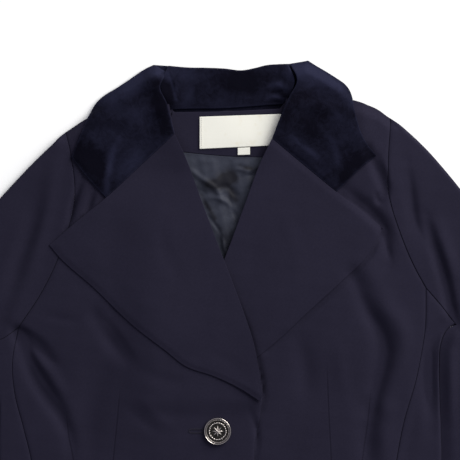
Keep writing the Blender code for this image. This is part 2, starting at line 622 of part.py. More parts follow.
def make_collar():
    """The velvet collar: its stand behind the neck, its two front falls and its back fall below."""
    make_fall("right", COLLAR_ROLL_RIGHT, COLLAR_OUTER_RIGHT, COLLAR_FRONT_RIGHT, LAPEL_TOP_RIGHT[4::-1],
              ROLL_LINE_RIGHT)
    make_fall("left", COLLAR_ROLL_LEFT, COLLAR_OUTER_LEFT, COLLAR_FRONT_LEFT, LAPEL_TOP_LEFT[2::-1],
              ROLL_LINE_LEFT)

    across, down = STAND_STEPS
    side_right = stepped(smooth((STAND_TOP[0], STAND_SIDE_RIGHT, STAND_SEAM[0])), down)
    side_left = stepped(smooth((STAND_TOP[-1], STAND_SIDE_LEFT, STAND_SEAM[-1])), down)
    top, seam = stepped(smooth(STAND_TOP), across), stepped(smooth(STAND_SEAM), across)
    grid = drawn_in(coons(top, seam, side_right, side_left))
    bulge = np.sin(math.pi * np.linspace(0, 1, down + 1))[:, None]
    ends = rise((np.abs(grid[..., 0] - STAND_MIDDLE) - STAND_FLAT) / STAND_FADE)
    under = VELVET + LAYER_GAP + bulge * (STAND_LIFT + STAND_END_LIFT * ends)
    sheet("collar_stand", grid, under, VELVET, VELVET_NAVY)

    right = smooth([place for place in COLLAR_OUTER_RIGHT if place[1] > FALL_TOP_RIGHT])
    left = smooth([place for place in COLLAR_OUTER_LEFT if place[1] > FALL_TOP_LEFT])
    columns, rows = BACK_FALL_STEPS
    top = np.vstack((right[::-1], smooth(STAND_TOP), left))
    ends = (stepped((top[0], BACK_FALL_LOW[0]), rows), stepped((top[-1], BACK_FALL_LOW[-1]), rows))
    grid = coons(stepped(top, columns), stepped(smooth(BACK_FALL_LOW), columns), *ends)
    sheet("collar_back_fall", grid, np.zeros(grid.shape[:2]), VELVET, VELVET_NAVY)


def make_button(index, centre):
    """A domed metal button with a rim and a sunk field, seated on the right front."""
    x, y = centre
    turn = np.linspace(0, 2 * math.pi, BUTTON_SIDES, endpoint=False)
    rim_x, rim_y = x + BUTTON_RADIUS * np.cos(turn), y + BUTTON_RADIUS * np.sin(turn)
    base = float(np.max(cloth_top(rim_x, rim_y) + lap(rim_x, rim_y))) + LAYER_GAP
    points = [(x, y, base)]
    for share, height in BUTTON_PROFILE:
        for angle in turn:
            out = BUTTON_RADIUS * share
            place = (x + out * math.cos(angle), y + out * math.sin(angle), base + height * BUTTON_HEIGHT)
            points.append(place)
    points.append((x, y, base + BUTTON_HEIGHT * BUTTON_CROWN))
    faces = []
    for side in range(BUTTON_SIDES):
        after = (side + 1) % BUTTON_SIDES
        faces.append((0, 1 + after, 1 + side))
        for ring in range(len(BUTTON_PROFILE) - 1):
            low, high = 1 + ring * BUTTON_SIDES, 1 + (ring + 1) * BUTTON_SIDES
            faces.append((low + side, low + after, high + after, high + side))
        last = 1 + (len(BUTTON_PROFILE) - 1) * BUTTON_SIDES
        faces.append((last + side, last + after, len(points) - 1))
    mesh_object("button_%d" % index, points, faces, SILVER)


def stand_on_origin():
    """Move every mesh so that the middle of the garment's underside is the origin."""
    things = [thing for thing in bpy.data.objects if thing.type == "MESH"]
    corners = np.array([vertex.co[:] for thing in things for vertex in thing.data.vertices])
    low, high = corners.min(axis=0), corners.max(axis=0)
    shift = np.array(((low[0] + high[0]) / 2, (low[1] + high[1]) / 2, low[2]))
    for thing in things:
        for vertex in thing.data.vertices:
            vertex.co = [float(value) for value in np.array(vertex.co[:]) - shift]


def main():
    """Build the jacket."""
    clear_scene()
    make_fronts()
    under_right = make_side_panel("right", PANEL_RIGHT, SIDE_RIGHT)
    under_left = make_side_panel("left", PANEL_LEFT, SIDE_LEFT)
    make_sleeve("right", SLEEVE_CONTACT_RIGHT, SLEEVE_OUTER_RIGHT, SLEEVE_INNER_RIGHT)
    make_sleeve("left", SLEEVE_CONTACT_LEFT, SLEEVE_OUTER_LEFT, SLEEVE_INNER_LEFT)
    make_back(under_right, under_left)
    make_neck_facing()
    make_lining()
    make_label()
    make_lapels()
    make_collar()
    for index, centre in enumerate(BUTTON_CENTRES, start=1):
        make_button(index, centre)
    stand_on_origin()


main()
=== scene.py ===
"""The looks of a navy uniform jacket with a velvet collar, laid flat on its back.

Each piece of cloth is a fine shell on the form of its solid, cut from the same pattern. The pattern is
in millimetres, seen from above, with x to the wearer's left and y towards the collar; heights are in
millimetres above the surface that the jacket lies on. The meshes are in metres, in the frame.
"""

import logging
import math
from dataclasses import dataclass, field
from enum import Enum

import bmesh
import bpy
import numpy as np
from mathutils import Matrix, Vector


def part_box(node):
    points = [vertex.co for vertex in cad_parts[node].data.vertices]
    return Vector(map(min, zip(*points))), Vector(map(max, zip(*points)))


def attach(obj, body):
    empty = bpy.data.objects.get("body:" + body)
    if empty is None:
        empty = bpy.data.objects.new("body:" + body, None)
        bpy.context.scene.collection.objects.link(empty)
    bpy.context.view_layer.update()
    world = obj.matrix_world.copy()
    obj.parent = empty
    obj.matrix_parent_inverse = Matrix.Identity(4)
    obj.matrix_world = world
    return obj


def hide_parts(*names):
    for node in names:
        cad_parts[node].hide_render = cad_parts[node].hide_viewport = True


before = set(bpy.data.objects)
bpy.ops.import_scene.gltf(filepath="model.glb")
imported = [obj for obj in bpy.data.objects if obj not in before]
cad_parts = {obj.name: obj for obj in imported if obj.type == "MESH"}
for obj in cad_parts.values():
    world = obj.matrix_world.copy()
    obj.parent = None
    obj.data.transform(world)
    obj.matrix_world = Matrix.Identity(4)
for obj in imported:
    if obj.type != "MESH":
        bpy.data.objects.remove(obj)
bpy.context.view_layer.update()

LOG = logging.getLogger("jacket")

MM = 0.001
SHORTEST_CUT = 0.01
BODY = "root"

Place = tuple[float, float]
Run = tuple[Place, ...]
Colour = tuple[float, float, float]

# Thickness of each cloth, in millimetres
WOOL = 1.8
LAPEL = 2.2
VELVET = 2.4
FACING = 1.2
SATIN = 1.0
RIBBON = 1.0

# Gaps between pieces and the heights that the cloth lies at
SEAM_INSET = 0.12
SEAM_DIP = 0.55
SEAM_WIDTH = 2.0
THIN_RIM = 0.55
THIN_WIDTH = 7.0
PRESSED_RADIUS = 0.3
LAYER_GAP = 0.6
TURNED_GAP = 1.2
LAID_HEIGHT = 8.0
FOLDED_EDGE = 4.2
NECK_RISE = 2.9
LAP_RISE = 2.8
LAPEL_RISE = 3.0
SHOULDER_ROUND = 16.0
ROLL_HEIGHT = 5.5
ROLL_WIDTH = 17.0

# Distances of the first rows from an edge, which round it off
RIM = (0.0, 0.2, 0.5, 0.9, 1.5, 2.4)


class Side(Enum):
    """The wearer's side."""

    RIGHT = "right"
    LEFT = "left"


class Lay(Enum):
    """How a stitch lies on the path that it follows."""

    ALONG = "X"
    ACROSS = "Y"


@dataclass(frozen=True)
class Fold:
    """A soft ridge, or a trough where its height is negative, with its strength at both ends."""

    height: float
    width: float
    first: float
    last: float
    places: Run


@dataclass(frozen=True)
class Mound:
    """A round soft rise."""

    height: float
    radius: float
    x: float
    y: float


@dataclass(frozen=True)
class Cut:
    """The pattern of one side of the jacket: each field is a run of places along one edge."""

    side: Side
    shoulder: Run
    armhole: Run
    underarm: Run
    side_edge: Run
    panel: Run
    hem: Run
    neck: Run
    roll: Run
    edge: Run
    corner: Run
    sleeve_outer: Run
    sleeve_inner: Run
    lapel_top: Run
    lapel_low: Run
    collar_roll: Run
    collar_outer: Run
    collar_front: Run
    darts: tuple[Run, ...]

    @property
    def roll_line(self) -> Run:
        """The line that the collar and the lapel turn over."""
        return self.collar_roll[1:] + self.roll[1:]


RIGHT = Cut(
    side=Side.RIGHT,
    shoulder=((-165, -25), (-141, -10), (-101, 2), (-57, 10)),
    armhole=((-165, -25), (-160, -44), (-156, -70), (-155, -88), (-157, -106), (-163, -129), (-173, -158),
             (-191, -195), (-215, -231)),
    underarm=((-215, -231), (-233, -243), (-252, -247)),
    side_edge=((-252, -247), (-243, -273), (-237, -307), (-236.5, -354), (-235, -396), (-230, -433),
               (-238, -490), (-251, -553), (-258, -627)),
    panel=((-215, -231), (-221, -270), (-218, -302), (-210, -333), (-201, -370), (-195, -417),
           (-203, -485), (-213, -559), (-221, -629)),
    hem=((-221, -629), (-110, -632), (-8, -631)),
    neck=((-57, 10), (-50, -27)),
    roll=((-50, -27), (-41, -46), (-20, -102), (2, -160), (18, -202), (33, -247), (42, -302)),
    edge=((42, -302), (40, -321), (34, -349), (33, -373), (28, -478), (23, -580)),
    corner=((23, -580), (20, -608), (9, -625), (-8, -631)),
    sleeve_outer=((-165, -25), (-187, -46), (-233, -93), (-260, -123), (-300, -177), (-336, -239),
                  (-377, -323), (-413, -418), (-443, -512), (-458, -570)),
    sleeve_inner=((-235.5, -398), (-240, -410), (-250, -427), (-277, -464), (-305, -521), (-335, -606)),
    lapel_top=((-50, -27), (-65, -41), (-86, -60.4), (-107, -80.3), (-122.3, -94), (-152, -118), (-182, -144)),
    lapel_low=((-182, -144), (-173, -155), (-136, -188), (-94, -228), (-59, -255), (-40, -270),
               (-7, -282), (18, -294), (40, -308)),
    collar_roll=((-58, 38), (-65, 22), (-58, 5), (-54, -10), (-50, -27)),
    collar_outer=((-72, 46), (-80, 42.3), (-98.7, 30), (-111.3, 21.7), (-124, 14), (-130.2, 8.9),
                  (-136.5, 0.3), (-139.2, -5.3), (-149.5, -30), (-158.6, -51.5)),
    collar_front=((-158.6, -51.5), (-142.8, -71.9), (-122.3, -94)),
    darts=(((-107, -286), (-111, -330), (-115, -372), (-116, -417), (-112, -520)),
           ((-165, -312), (-162, -345), (-157, -370), (-155, -417), (-160, -520))),
)
LEFT = Cut(
    side=Side.LEFT,
    shoulder=((69, 16), (104, 11), (138, 8.6), (147, 6), (153.5, 3.3), (160, 0.8), (166, -2.6), (172, -7.2),
              (177, -10.5)),
    armhole=((177, -10.5), (174, -57), (175, -92), (183, -119), (202, -167), (214, -189)),
    underarm=((214, -189), (233, -211), (246, -228)),
    side_edge=((246, -228), (238.5, -232), (233, -240), (230, -250), (228.6, -270), (229, -298), (230, -338),
               (229.5, -380), (222, -417), (229, -475), (242, -538), (248, -611)),
    panel=((214, -189), (213, -233), (209, -260), (205, -280), (190, -333), (183, -370), (178, -408),
           (187, -475), (197, -538), (204, -613)),
    hem=((-57, -624), (70, -622), (204, -613)),
    neck=((69, 16), (62, -6), (52, -32)),
    roll=((52, -32), (42, -52), (22, -105), (2, -158), (-17, -202), (-36, -254), (-48, -304)),
    edge=((-48, -304), (-49, -319), (-43, -349), (-44, -373), (-49, -478), (-54, -580), (-57, -624)),
    corner=(),
    sleeve_outer=((177, -10.5), (185, -16.7), (191, -21.5), (197.5, -27.2), (250, -83), (292, -139),
                  (329, -202), (371, -286), (407, -380), (439, -475), (455, -532)),
    sleeve_inner=((230, -384), (235, -396), (243, -411), (269, -447), (300, -502), (332, -568)),
    lapel_top=((52, -32), (87, -61), (120, -88), (145, -107), (169, -126)),
    lapel_low=((169, -126), (153, -154), (124, -183), (89, -215), (66, -237), (36, -262), (-7, -288),
               (-46, -308)),
    collar_roll=((71.5, 46), (78, 29), (70, 12), (62, -6), (52, -32)),
    collar_outer=((90, 50.5), (97, 46), (109, 39), (122, 30.8), (128, 26.6), (133, 21), (136, 14.5),
                  (137, 8.4), (138.6, -2), (142, -15), (146, -27), (152, -38), (162, -50)),
    collar_front=((162, -50), (146, -62.5), (134, -74), (120, -88)),
    darts=(((109, -258), (112, -330), (114, -370), (113, -417), (109, -515)),
           ((157, -286), (152, -335), (147, -370), (144, -417), (149, -515))),
)

# Edges that both sides share, or that belong to the neck
STAND_TOP: Run = ((-57, 45), (-36, 43.2), (-17, 42.9), (3, 42), (20, 40.2), (34, 42.6), (46, 45.6), (59, 46.7),
                  (69, 47))
STAND_SEAM: Run = ((-55, -1.5), (-45, -1), (4, 0), (52, 3.6), (63.5, 4.3))
BACK_FALL_LOW: Run = ((-130, -14), (-76, -22), (0, -23), (71, -17), (130, 2))
NECKLINE: Run = ((-57, 10), (-51, -3), (4, -2), (62, 2), (69, 16))
FACING_TOP: Run = ((-53, -4), (4, -3), (64, 0))
FACING_LOW: Run = ((-62, -44), (0, -50), (66, -52))
LINING_LOW: Run = ((-20, -172), (24, -172))
LABEL: Run = ((-24, -9), (62, -6), (61, -38.8), (-24, -42.8))
SIZE_TAB: Run = ((16, -41.6), (29, -41), (29, -48.8), (16, -49.2))
BUTTON_CENTRES: Run = ((-5, -339), (-8, -434), (-11, -528))
BUTTONHOLE_START = -33.0
HEAD_SHARE = 8 / 15

FOLDS = (
    Fold(-4.4, 9, 0.5, 0.3, ((136, -174), (142, -186), (151, -209), (164, -233), (167, -249), (165, -267),
         (159, -290), (153, -315))),
    Fold(4.2, 11, 0.5, 0.3, ((154, -170), (162, -186), (171, -208), (186, -230), (190, -246), (187, -267),
         (178, -290), (172, -317))),
    Fold(-2.6, 10, 0.0, 0.1, ((79, -233), (84, -256), (87, -284), (85, -311))),
    Fold(-4.0, 9, 0.6, 0.3, ((153, -315), (152, -338), (152, -380))),
    Fold(3.0, 11, 0.6, 0.3, ((172, -317), (171, -345), (170, -390))),
    Fold(-4.6, 6.0, 0.9, 0.1, ((-216, -235), (-207, -242), (-196, -251), (-185, -261), (-172, -273))),
    Fold(-5.0, 7.0, 0.9, 0.2, ((-213, -240), (-207, -262), (-196, -287), (-182, -308), (-171, -323),
         (-162, -342), (-160, -380))),
    Fold(2.2, 6, 0.3, 0.1, ((-200, -250), (-186, -270), (-173, -290), (-160, -309))),
    Fold(-3.6, 8, 0.5, 0.1, ((-134, -217), (-122, -237), (-105, -259), (-92, -273))),
    Fold(-2.8, 14, 0.1, 0.3, ((-116, -256), (-129, -284), (-139, -312), (-141, -343), (-141, -391))),
    Fold(-3.0, 9, 0.1, 0.1, ((-191, -90), (-201, -124), (-211, -154), (-220, -188), (-229, -212))),
    Fold(2.5, 9, 0.3, 0.6, ((-169, -34), (-178, -74), (-185, -106), (-195, -144), (-210, -191),
         (-220, -220))),
    Fold(-4.6, 5.5, 0.1, 1.0, ((212, -111), (218, -132), (227, -160), (234, -185), (238, -205), (242, -222))),
    Fold(2.6, 8, 0.1, 0.6, ((225, -112), (233, -144), (243, -175), (249, -202))),
    Fold(-2.4, 7, 0.2, 0.2, ((192, -55), (195, -84), (203, -126), (213, -149))),
    Fold(-5.2, 6.5, 0.3, 0.2, ((122, -81), (134, -90), (149, -103), (164, -117), (171, -129), (173, -149),
         (175, -165))),
    Fold(-5.0, 5.5, 0.5, 0.2, ((152, -42), (160, -59), (167, -76), (170, -88), (164, -96), (155, -99))),
    Fold(-5.6, 8, 0.7, 0.2, ((233, -229), (223, -242), (218, -256), (216, -277), (217, -298), (220, -338))),
    Fold(2.6, 7, 0.4, 0.2, ((247, -238), (240, -256), (239, -280), (239, -310), (240, -345))),
    Fold(-3.0, 12, 0.3, 0.0, ((-262, -262), (-290, -290), (-330, -322))),
    Fold(3.5, 14, 0.2, 0.0, ((-262, -300), (-300, -335), (-352, -352))),
    Fold(-3.0, 12, 0.0, 0.0, ((-404, -350), (-370, -372), (-318, -376))),
    Fold(-3.0, 12, 0.3, 0.0, ((256, -250), (284, -272), (322, -296))),
    Fold(3.5, 14, 0.2, 0.0, ((252, -292), (290, -318), (344, -330))),
    Fold(-3.0, 12, 0.0, 0.0, ((398, -318), (362, -342), (312, -350))),
    Fold(-2.5, 13, 0.2, 0.0, ((-196, -424), (-165, -410), (-120, -404))),
    Fold(-2.5, 13, 0.2, 0.0, ((180, -414), (150, -398), (102, -396))),
)

# Smaller creases, which the solids leave out
CREASES = (
    Fold(-1.6, 3.4, 1.0, 0.0, ((-214, -233), (-202, -238), (-190, -247), (-177, -259))),
    Fold(-2.6, 3.2, 1.0, 0.2, ((-212, -236), (-200, -262), (-186, -286), (-172, -307), (-163, -322))),
    Fold(-4.2, 3.4, 0.3, 0.3, ((-146, -73), (-152, -88), (-157, -103), (-163, -127))),
    Fold(-3.6, 3.2, 0.2, 0.4, ((-134, -86), (-139, -100), (-146, -116))),
    Fold(-1.0, 4.0, 0.0, 0.0, ((-128, -217), (-115, -232), (-101, -252), (-90, -268))),
    Fold(-0.9, 5.0, 0.0, 0.0, ((-191, -218), (-168, -222), (-145, -225))),
    Fold(0.8, 7.0, 0.0, 0.0, ((-83, -318), (-58, -304), (-32, -286))),
    Fold(-0.9, 7.0, 0.0, 0.0, ((-97, -268), (-68, -282), (-34, -290))),
    Fold(0.8, 6.0, 0.0, 0.0, ((-88, -300), (-70, -322), (-44, -340))),
    Fold(-0.9, 6.0, 0.0, 0.0, ((-102, -312), (-82, -330), (-60, -346))),
    Fold(-1.8, 3.4, 0.2, 1.0, ((216, -113), (224, -140), (233, -168), (243, -214))),
    Fold(-1.3, 3.4, 0.2, 0.2, ((195, -55), (199, -84), (207, -128), (218, -148))),
    Fold(-1.4, 3.0, 0.8, 0.0, ((169, -131), (174, -149), (178, -165))),
    Fold(-3.0, 6.0, 0.3, 0.3, ((170, -256), (165, -276), (160, -300), (157, -335))),
    Fold(-2.4, 5.5, 0.3, 0.2, ((137, -174), (145, -196), (157, -218), (169, -239), (173, -255), (172, -271),
         (166, -293), (160, -320), (158, -350))),
    Fold(-1.6, 2.6, 0.3, 0.3, ((7, -182), (35, -259), (42, -300), (40.5, -318))),
    Fold(-1.4, 2.4, 0.2, 0.4, ((37, -264), (42, -290), (43, -310), (40, -319))),
    Fold(-2.4, 2.6, 0.3, 0.5, ((29, -317), (36, -338), (34.5, -372))),
    Fold(-2.4, 2.4, 0.9, 0.6, ((170, -127), (154.5, -155), (125.5, -184.5), (90.5, -216.5), (67.5, -238.5),
         (46, -256))),
    Fold(-1.8, 2.2, 0.4, 0.9, ((126, -91.5), (146, -106), (170, -126))),
    Fold(-1.0, 6.0, 0.0, 0.0, ((196, -246), (206, -300), (196, -350), (186, -400))),
    Fold(0.9, 7.0, 0.0, 0.0, ((118, -238), (126, -280), (132, -330))),
    Fold(-1.4, 2.6, 0.2, 0.2, ((160, -86), (166, -99), (172, -97))),
    Fold(-1.4, 3.2, 0.4, 0.2, ((163, -50), (172, -77), (174, -91))),
    Fold(-0.9, 6.0, 0.0, 0.0, ((-186, -88), (-196, -124), (-210, -160))),
    Fold(0.8, 7.0, 0.0, 0.0, ((-206, -100), (-222, -150), (-240, -200))),
    Fold(-1.0, 5.0, 0.4, 0.0, ((-258, -262), (-276, -284), (-306, -300))),
    Fold(-0.9, 6.0, 0.0, 0.0, ((-290, -402), (-318, -398), (-352, -412))),
    Fold(-1.0, 5.0, 0.4, 0.0, ((252, -238), (272, -258), (296, -268))),
    Fold(-0.9, 6.0, 0.0, 0.0, ((286, -380), (314, -376), (346, -388))),
    Fold(-0.8, 7.0, 0.0, 0.0, ((-60, -420), (-20, -432), (14, -430))),
    Fold(-0.8, 7.0, 0.0, 0.0, ((-70, -520), (-30, -512), (10, -522))),
    Fold(-0.8, 8.0, 0.0, 0.0, ((60, -430), (96, -420), (140, -424))),
    Fold(-0.8, 8.0, 0.0, 0.0, ((-180, -520), (-150, -508), (-96, -512))),
)

MOUNDS = (
    Mound(4.5, 48, -150, -66),
    Mound(4.5, 48, 158, -60),
    Mound(6.0, 84, -90, -225),
    Mound(3.0, 78, 110, -200),
    Mound(2.0, 60, -345, -400),
    Mound(2.0, 60, 340, -380),
)

LAPEL_CREASES = (
    Fold(-0.7, 8.0, 0.0, 0.0, ((-70, -110), (-60, -150), (-40, -190))),
    Fold(0.6, 10.0, 0.0, 0.0, ((60, -100), (76, -150), (80, -196))),
    Fold(-0.6, 9.0, 0.0, 0.0, ((-30, -250), (0, -262), (24, -282))),
)

# Sharp creases of the satin lining
LINING_CREASES = (
    Fold(1.9, 3.0, 0.2, 0.1, ((-40, -60), (-22, -74), (-6, -86), (2, -104))),
    Fold(-1.7, 3.2, 0.6, 0.2, ((-34, -84), (-16, -90), (4, -82), (18, -92), (30, -84))),
    Fold(1.8, 2.8, 0.3, 0.2, ((-24, -98), (-10, -94), (6, -100), (20, -120))),
    Fold(-1.6, 2.6, 0.2, 0.5, ((4, -84), (10, -104), (20, -124), (22, -140))),
    Fold(1.6, 2.4, 0.4, 0.1, ((40, -60), (28, -66), (14, -64), (4, -72))),
    Fold(-1.4, 2.0, 0.5, 0.3, ((52, -70), (36, -70), (20, -72))),
    Fold(1.3, 2.2, 0.1, 0.4, ((-8, -124), (0, -134), (2, -148), (8, -158))),
    Fold(-1.2, 2.0, 0.6, 0.2, ((-14, -114), (-4, -128), (4, -142))),
    Fold(1.0, 2.0, 0.0, 0.0, ((-44, -70), (-34, -92), (-22, -108))),
)

# Painted sheen on the velvet: streaks painted lighter where its pile catches the light, and painted shade where the
# strength is negative
PAINTED_PILE_SHEEN = (
    Fold(1.2, 3.6, 0.7, 0.3, ((-122, -88), (-119, -66), (-115, -46), (-108, -32))),
    Fold(0.8, 9.0, 0.3, 0.3, ((-78, -42), (-92, -54), (-106, -72))),
    Fold(1.5, 9.0, 0.6, 0.6, ((-70, 40), (-84, 33), (-102, 22), (-120, 12))),
    Fold(0.9, 1.3, 0.6, 0.8, ((-57, 37), (-53, 26), (-48.5, 9))),
    Fold(-0.8, 5.0, 0.6, 0.6, ((-62, 30), (-58, 18), (-55, 6))),
    Fold(0.9, 5.0, 0.8, 0.8, ((-74, 42), (-66, 36), (-60, 34))),
    Fold(-0.9, 12.0, 0.8, 0.5, ((-148, -48), (-136, -58), (-126, -76))),
    Fold(-0.7, 8.0, 0.6, 0.8, ((-70, 30), (-66, 4), (-60, -22))),
    Fold(0.4, 9.0, 0.2, 0.2, ((-106, -4), (-90, -8), (-74, -14))),
    Fold(1.7, 7.0, 0.9, 0.4, ((78, 42), (92, 41), (110, 30), (124, 20), (133, 8))),
    Fold(0.8, 8.0, 0.9, 0.3, ((76, 34), (88, 28), (102, 20))),
    Fold(-0.45, 16.0, 0.6, 0.6, ((84, 10), (100, -4), (122, -16))),
    Fold(0.65, 2.6, 0.3, 0.3, ((68, -26), (82, -38), (96, -48), (108, -60))),
    Fold(0.55, 3.6, 0.2, 0.2, ((104, -20), (116, -38), (121, -58), (121, -76))),
    Fold(0.4, 8.0, 0.2, 0.2, ((118, 4), (124, -10), (134, -30))),
    Fold(-0.7, 13.0, 0.5, 0.7, ((152, -48), (140, -56), (130, -74))),
    Fold(-0.5, 12.0, 0.5, 0.5, ((70, -8), (88, -20), (104, -40))),
    Fold(0.7, 7.0, 0.4, 0.2, ((-48, 40), (-36, 34), (-22, 36))),
    Fold(0.6, 4.0, 0.1, 0.4, ((-34, 30), (-33, 16), (-40, 4))),
    Fold(0.4, 9.0, 0.2, 0.2, ((-14, 14), (-10, 8), (4, 6))),
    Fold(1.2, 3.0, 0.6, 0.6, ((52, 24), (60, 25), (66, 20))),
    Fold(1.0, 2.6, 0.6, 0.6, ((48, 11), (58, 12), (65, 8))),
    Fold(-0.7, 12.0, 0.4, 0.4, ((0, 34), (20, 26), (42, 32))),
)
# Painted sheen along the rim of each velvet piece, and its width in millimetres
PAINTED_RIM_SHEEN = 0.6
PAINTED_RIM_SHEEN_WIDTH = 1.3


def rise(value: np.ndarray) -> np.ndarray:
    """Smooth step from 0 at 0 to 1 at 1."""
    part = np.clip(value, 0.0, 1.0)
    return part * part * (3.0 - 2.0 * part)


def lengths(path: np.ndarray) -> np.ndarray:
    """Length along a path at each of its places."""
    steps = np.linalg.norm(np.diff(path, axis=0), axis=1)
    return np.concatenate(([0.0], np.cumsum(steps)))


def smooth(places: Run, per_span: int = 12) -> np.ndarray:
    """A fine path on a rounded curve.

    Args:
        places: the places that the curve runs through.
        per_span: steps between two places.

    Returns:
        The places of the fine path, one a row.
    """
    points = np.asarray(places, float)
    if len(points) < 3:
        return points
    knots = lengths(points)
    slopes = np.gradient(points, knots, axis=0)
    path = [points[0]]
    for index in range(len(points) - 1):
        span = knots[index + 1] - knots[index]
        for step in range(1, per_span + 1):
            t = step / per_span
            start = (2 * t**3 - 3 * t**2 + 1) * points[index] + (t**3 - 2 * t**2 + t) * span * slopes[index]
            end = (3 * t**2 - 2 * t**3) * points[index + 1] + (t**3 - t**2) * span * slopes[index + 1]
            path.append(start + end)
    return np.array(path)


def evenly(path: np.ndarray, fractions: np.ndarray) -> np.ndarray:
    """Places at these fractions of a path's length."""
    knots = lengths(path)
    at = np.asarray(fractions) * knots[-1]
    return np.column_stack([np.interp(at, knots, path[:, axis]) for axis in range(path.shape[1])])


def reach(x: np.ndarray, y: np.ndarray, path: np.ndarray) -> tuple[np.ndarray, np.ndarray]:
    """How far each place lies from a path.

    Args:
        x: the places' x.
        y: the places' y.
        path: the path's places.

    Returns:
        The distance, positive on the path's left and negative on its right, and the fraction of the
        path where it is nearest.
    """
    knots = lengths(path)
    best = np.full(np.shape(x), np.inf)
    signed = np.zeros(np.shape(x))
    where = np.zeros(np.shape(x))
    for index in range(len(path) - 1):
        start, step = path[index], path[index + 1] - path[index]
        dx, dy = x - start[0], y - start[1]
        t = np.clip((dx * step[0] + dy * step[1]) / np.dot(step, step), 0, 1)
        far = np.hypot(dx - t * step[0], dy - t * step[1])
        nearer = far < best
        best = np.where(nearer, far, best)
        signed = np.where(nearer, np.copysign(far, step[0] * dy - step[1] * dx), signed)
        where = np.where(nearer, (knots[index] + t * (knots[index + 1] - knots[index])) / knots[-1], where)
    return signed, where


def spread(size: float, step: float, rims: tuple[bool, bool] = (True, True)) -> np.ndarray:
    """Fractions across a piece, close together at its edges and even between them.

    Args:
        size: the width or length of the piece, in millimetres.
        step: the even spacing, in millimetres.
        rims: whether the first and the last edge are rounded off.

    Returns:
        The fractions, from 0 to 1.
    """
    first = np.array(RIM[:-1]) if rims[0] else np.zeros(0)
    last = size - np.array(RIM[:-1])[::-1] if rims[1] else np.zeros(0)
    low = RIM[-1] if rims[0] else 0.0
    high = size - RIM[-1] if rims[1] else size
    middle = np.linspace(low, high, max(round((high - low) / step), 1) + 1)
    return np.concatenate((first, middle, last)) / size


class Edge:
    """An edge of a pattern piece: places with the fraction of the edge that each stands for."""

    def __init__(self, places: np.ndarray, knots: np.ndarray, corners: tuple[float, ...] = ()) -> None:
        """Keep the places, their fractions and the fractions where the edge has corners."""
        self.places = places
        self.knots = knots
        self.corners = corners

    @classmethod
    def through(cls, *runs: Run | np.ndarray, shares: tuple[float, ...] = ()) -> "Edge":
        """An edge along several rounded runs, with a corner where two of them meet.

        Args:
            runs: places to round off, or paths that already are fine.
            shares: the share of the edge that each run takes; its length, where none are given.

        Returns:
            The edge.
        """
        paths = [run if isinstance(run, np.ndarray) else smooth(run) for run in runs]
        sizes = [lengths(path)[-1] for path in paths]
        ends = np.concatenate(([0.0], np.cumsum(shares or sizes)))
        ends /= ends[-1]
        places, knots = [paths[0][:1]], [np.zeros(1)]
        for index, path in enumerate(paths):
            part = lengths(path) / sizes[index]
            places.append(path[1:])
            knots.append(ends[index] + part[1:] * (ends[index + 1] - ends[index]))
        return cls(np.vstack(places), np.concatenate(knots), tuple(ends[1:-1]))

    def bent(self, amount: float) -> "Edge":
        """The same edge, its middle places reached a little earlier."""
        share = np.linspace(0, 1, 81)
        return Edge(self.at(share + amount * np.sin(math.pi * share)), share)

    def at(self, fractions: np.ndarray) -> np.ndarray:
        """Places at these fractions, with one exactly on each corner."""
        wanted = np.array(fractions, float)
        for corner in self.corners:
            wanted[np.argmin(np.abs(wanted - corner))] = corner
        return np.column_stack([np.interp(wanted, self.knots, self.places[:, axis]) for axis in (0, 1)])


@dataclass(frozen=True)
class Patch:
    """A pattern piece between four edges: top and bottom run across it, left and right down it."""

    top: Edge
    bottom: Edge
    left: Edge
    right: Edge

    def grid(self, across: np.ndarray, down: np.ndarray) -> np.ndarray:
        """Places at these fractions across and down the piece."""
        top, bottom = self.top.at(across), self.bottom.at(across)
        left, right = self.left.at(down), self.right.at(down)
        u = across[None, :, None]
        v = down[:, None, None]
        ruled = (1 - v) * top[None] + v * bottom[None] + (1 - u) * left[:, None] + u * right[:, None]
        corners = ((1 - u) * (1 - v) * top[0] + u * (1 - v) * top[-1]
                   + (1 - u) * v * bottom[0] + u * v * bottom[-1])
        return ruled - corners


def drawn_in(grid: np.ndarray, amount: float = SEAM_INSET) -> np.ndarray:
    """Move a grid's border inwards by less than its first row, which leaves the gap at its seams."""
    moved = grid.copy()
    for edge, beside in ((0, 6), (-1, -7)):
        step = grid[beside] - grid[edge]
        moved[edge] += step / np.maximum(np.linalg.norm(step, axis=1, keepdims=True), 1e-6) * amount
    for edge, beside in ((0, 6), (-1, -7)):
        step = grid[:, beside] - grid[:, edge]
        moved[:, edge] += step / np.maximum(np.linalg.norm(step, axis=1, keepdims=True), 1e-6) * amount
    return moved


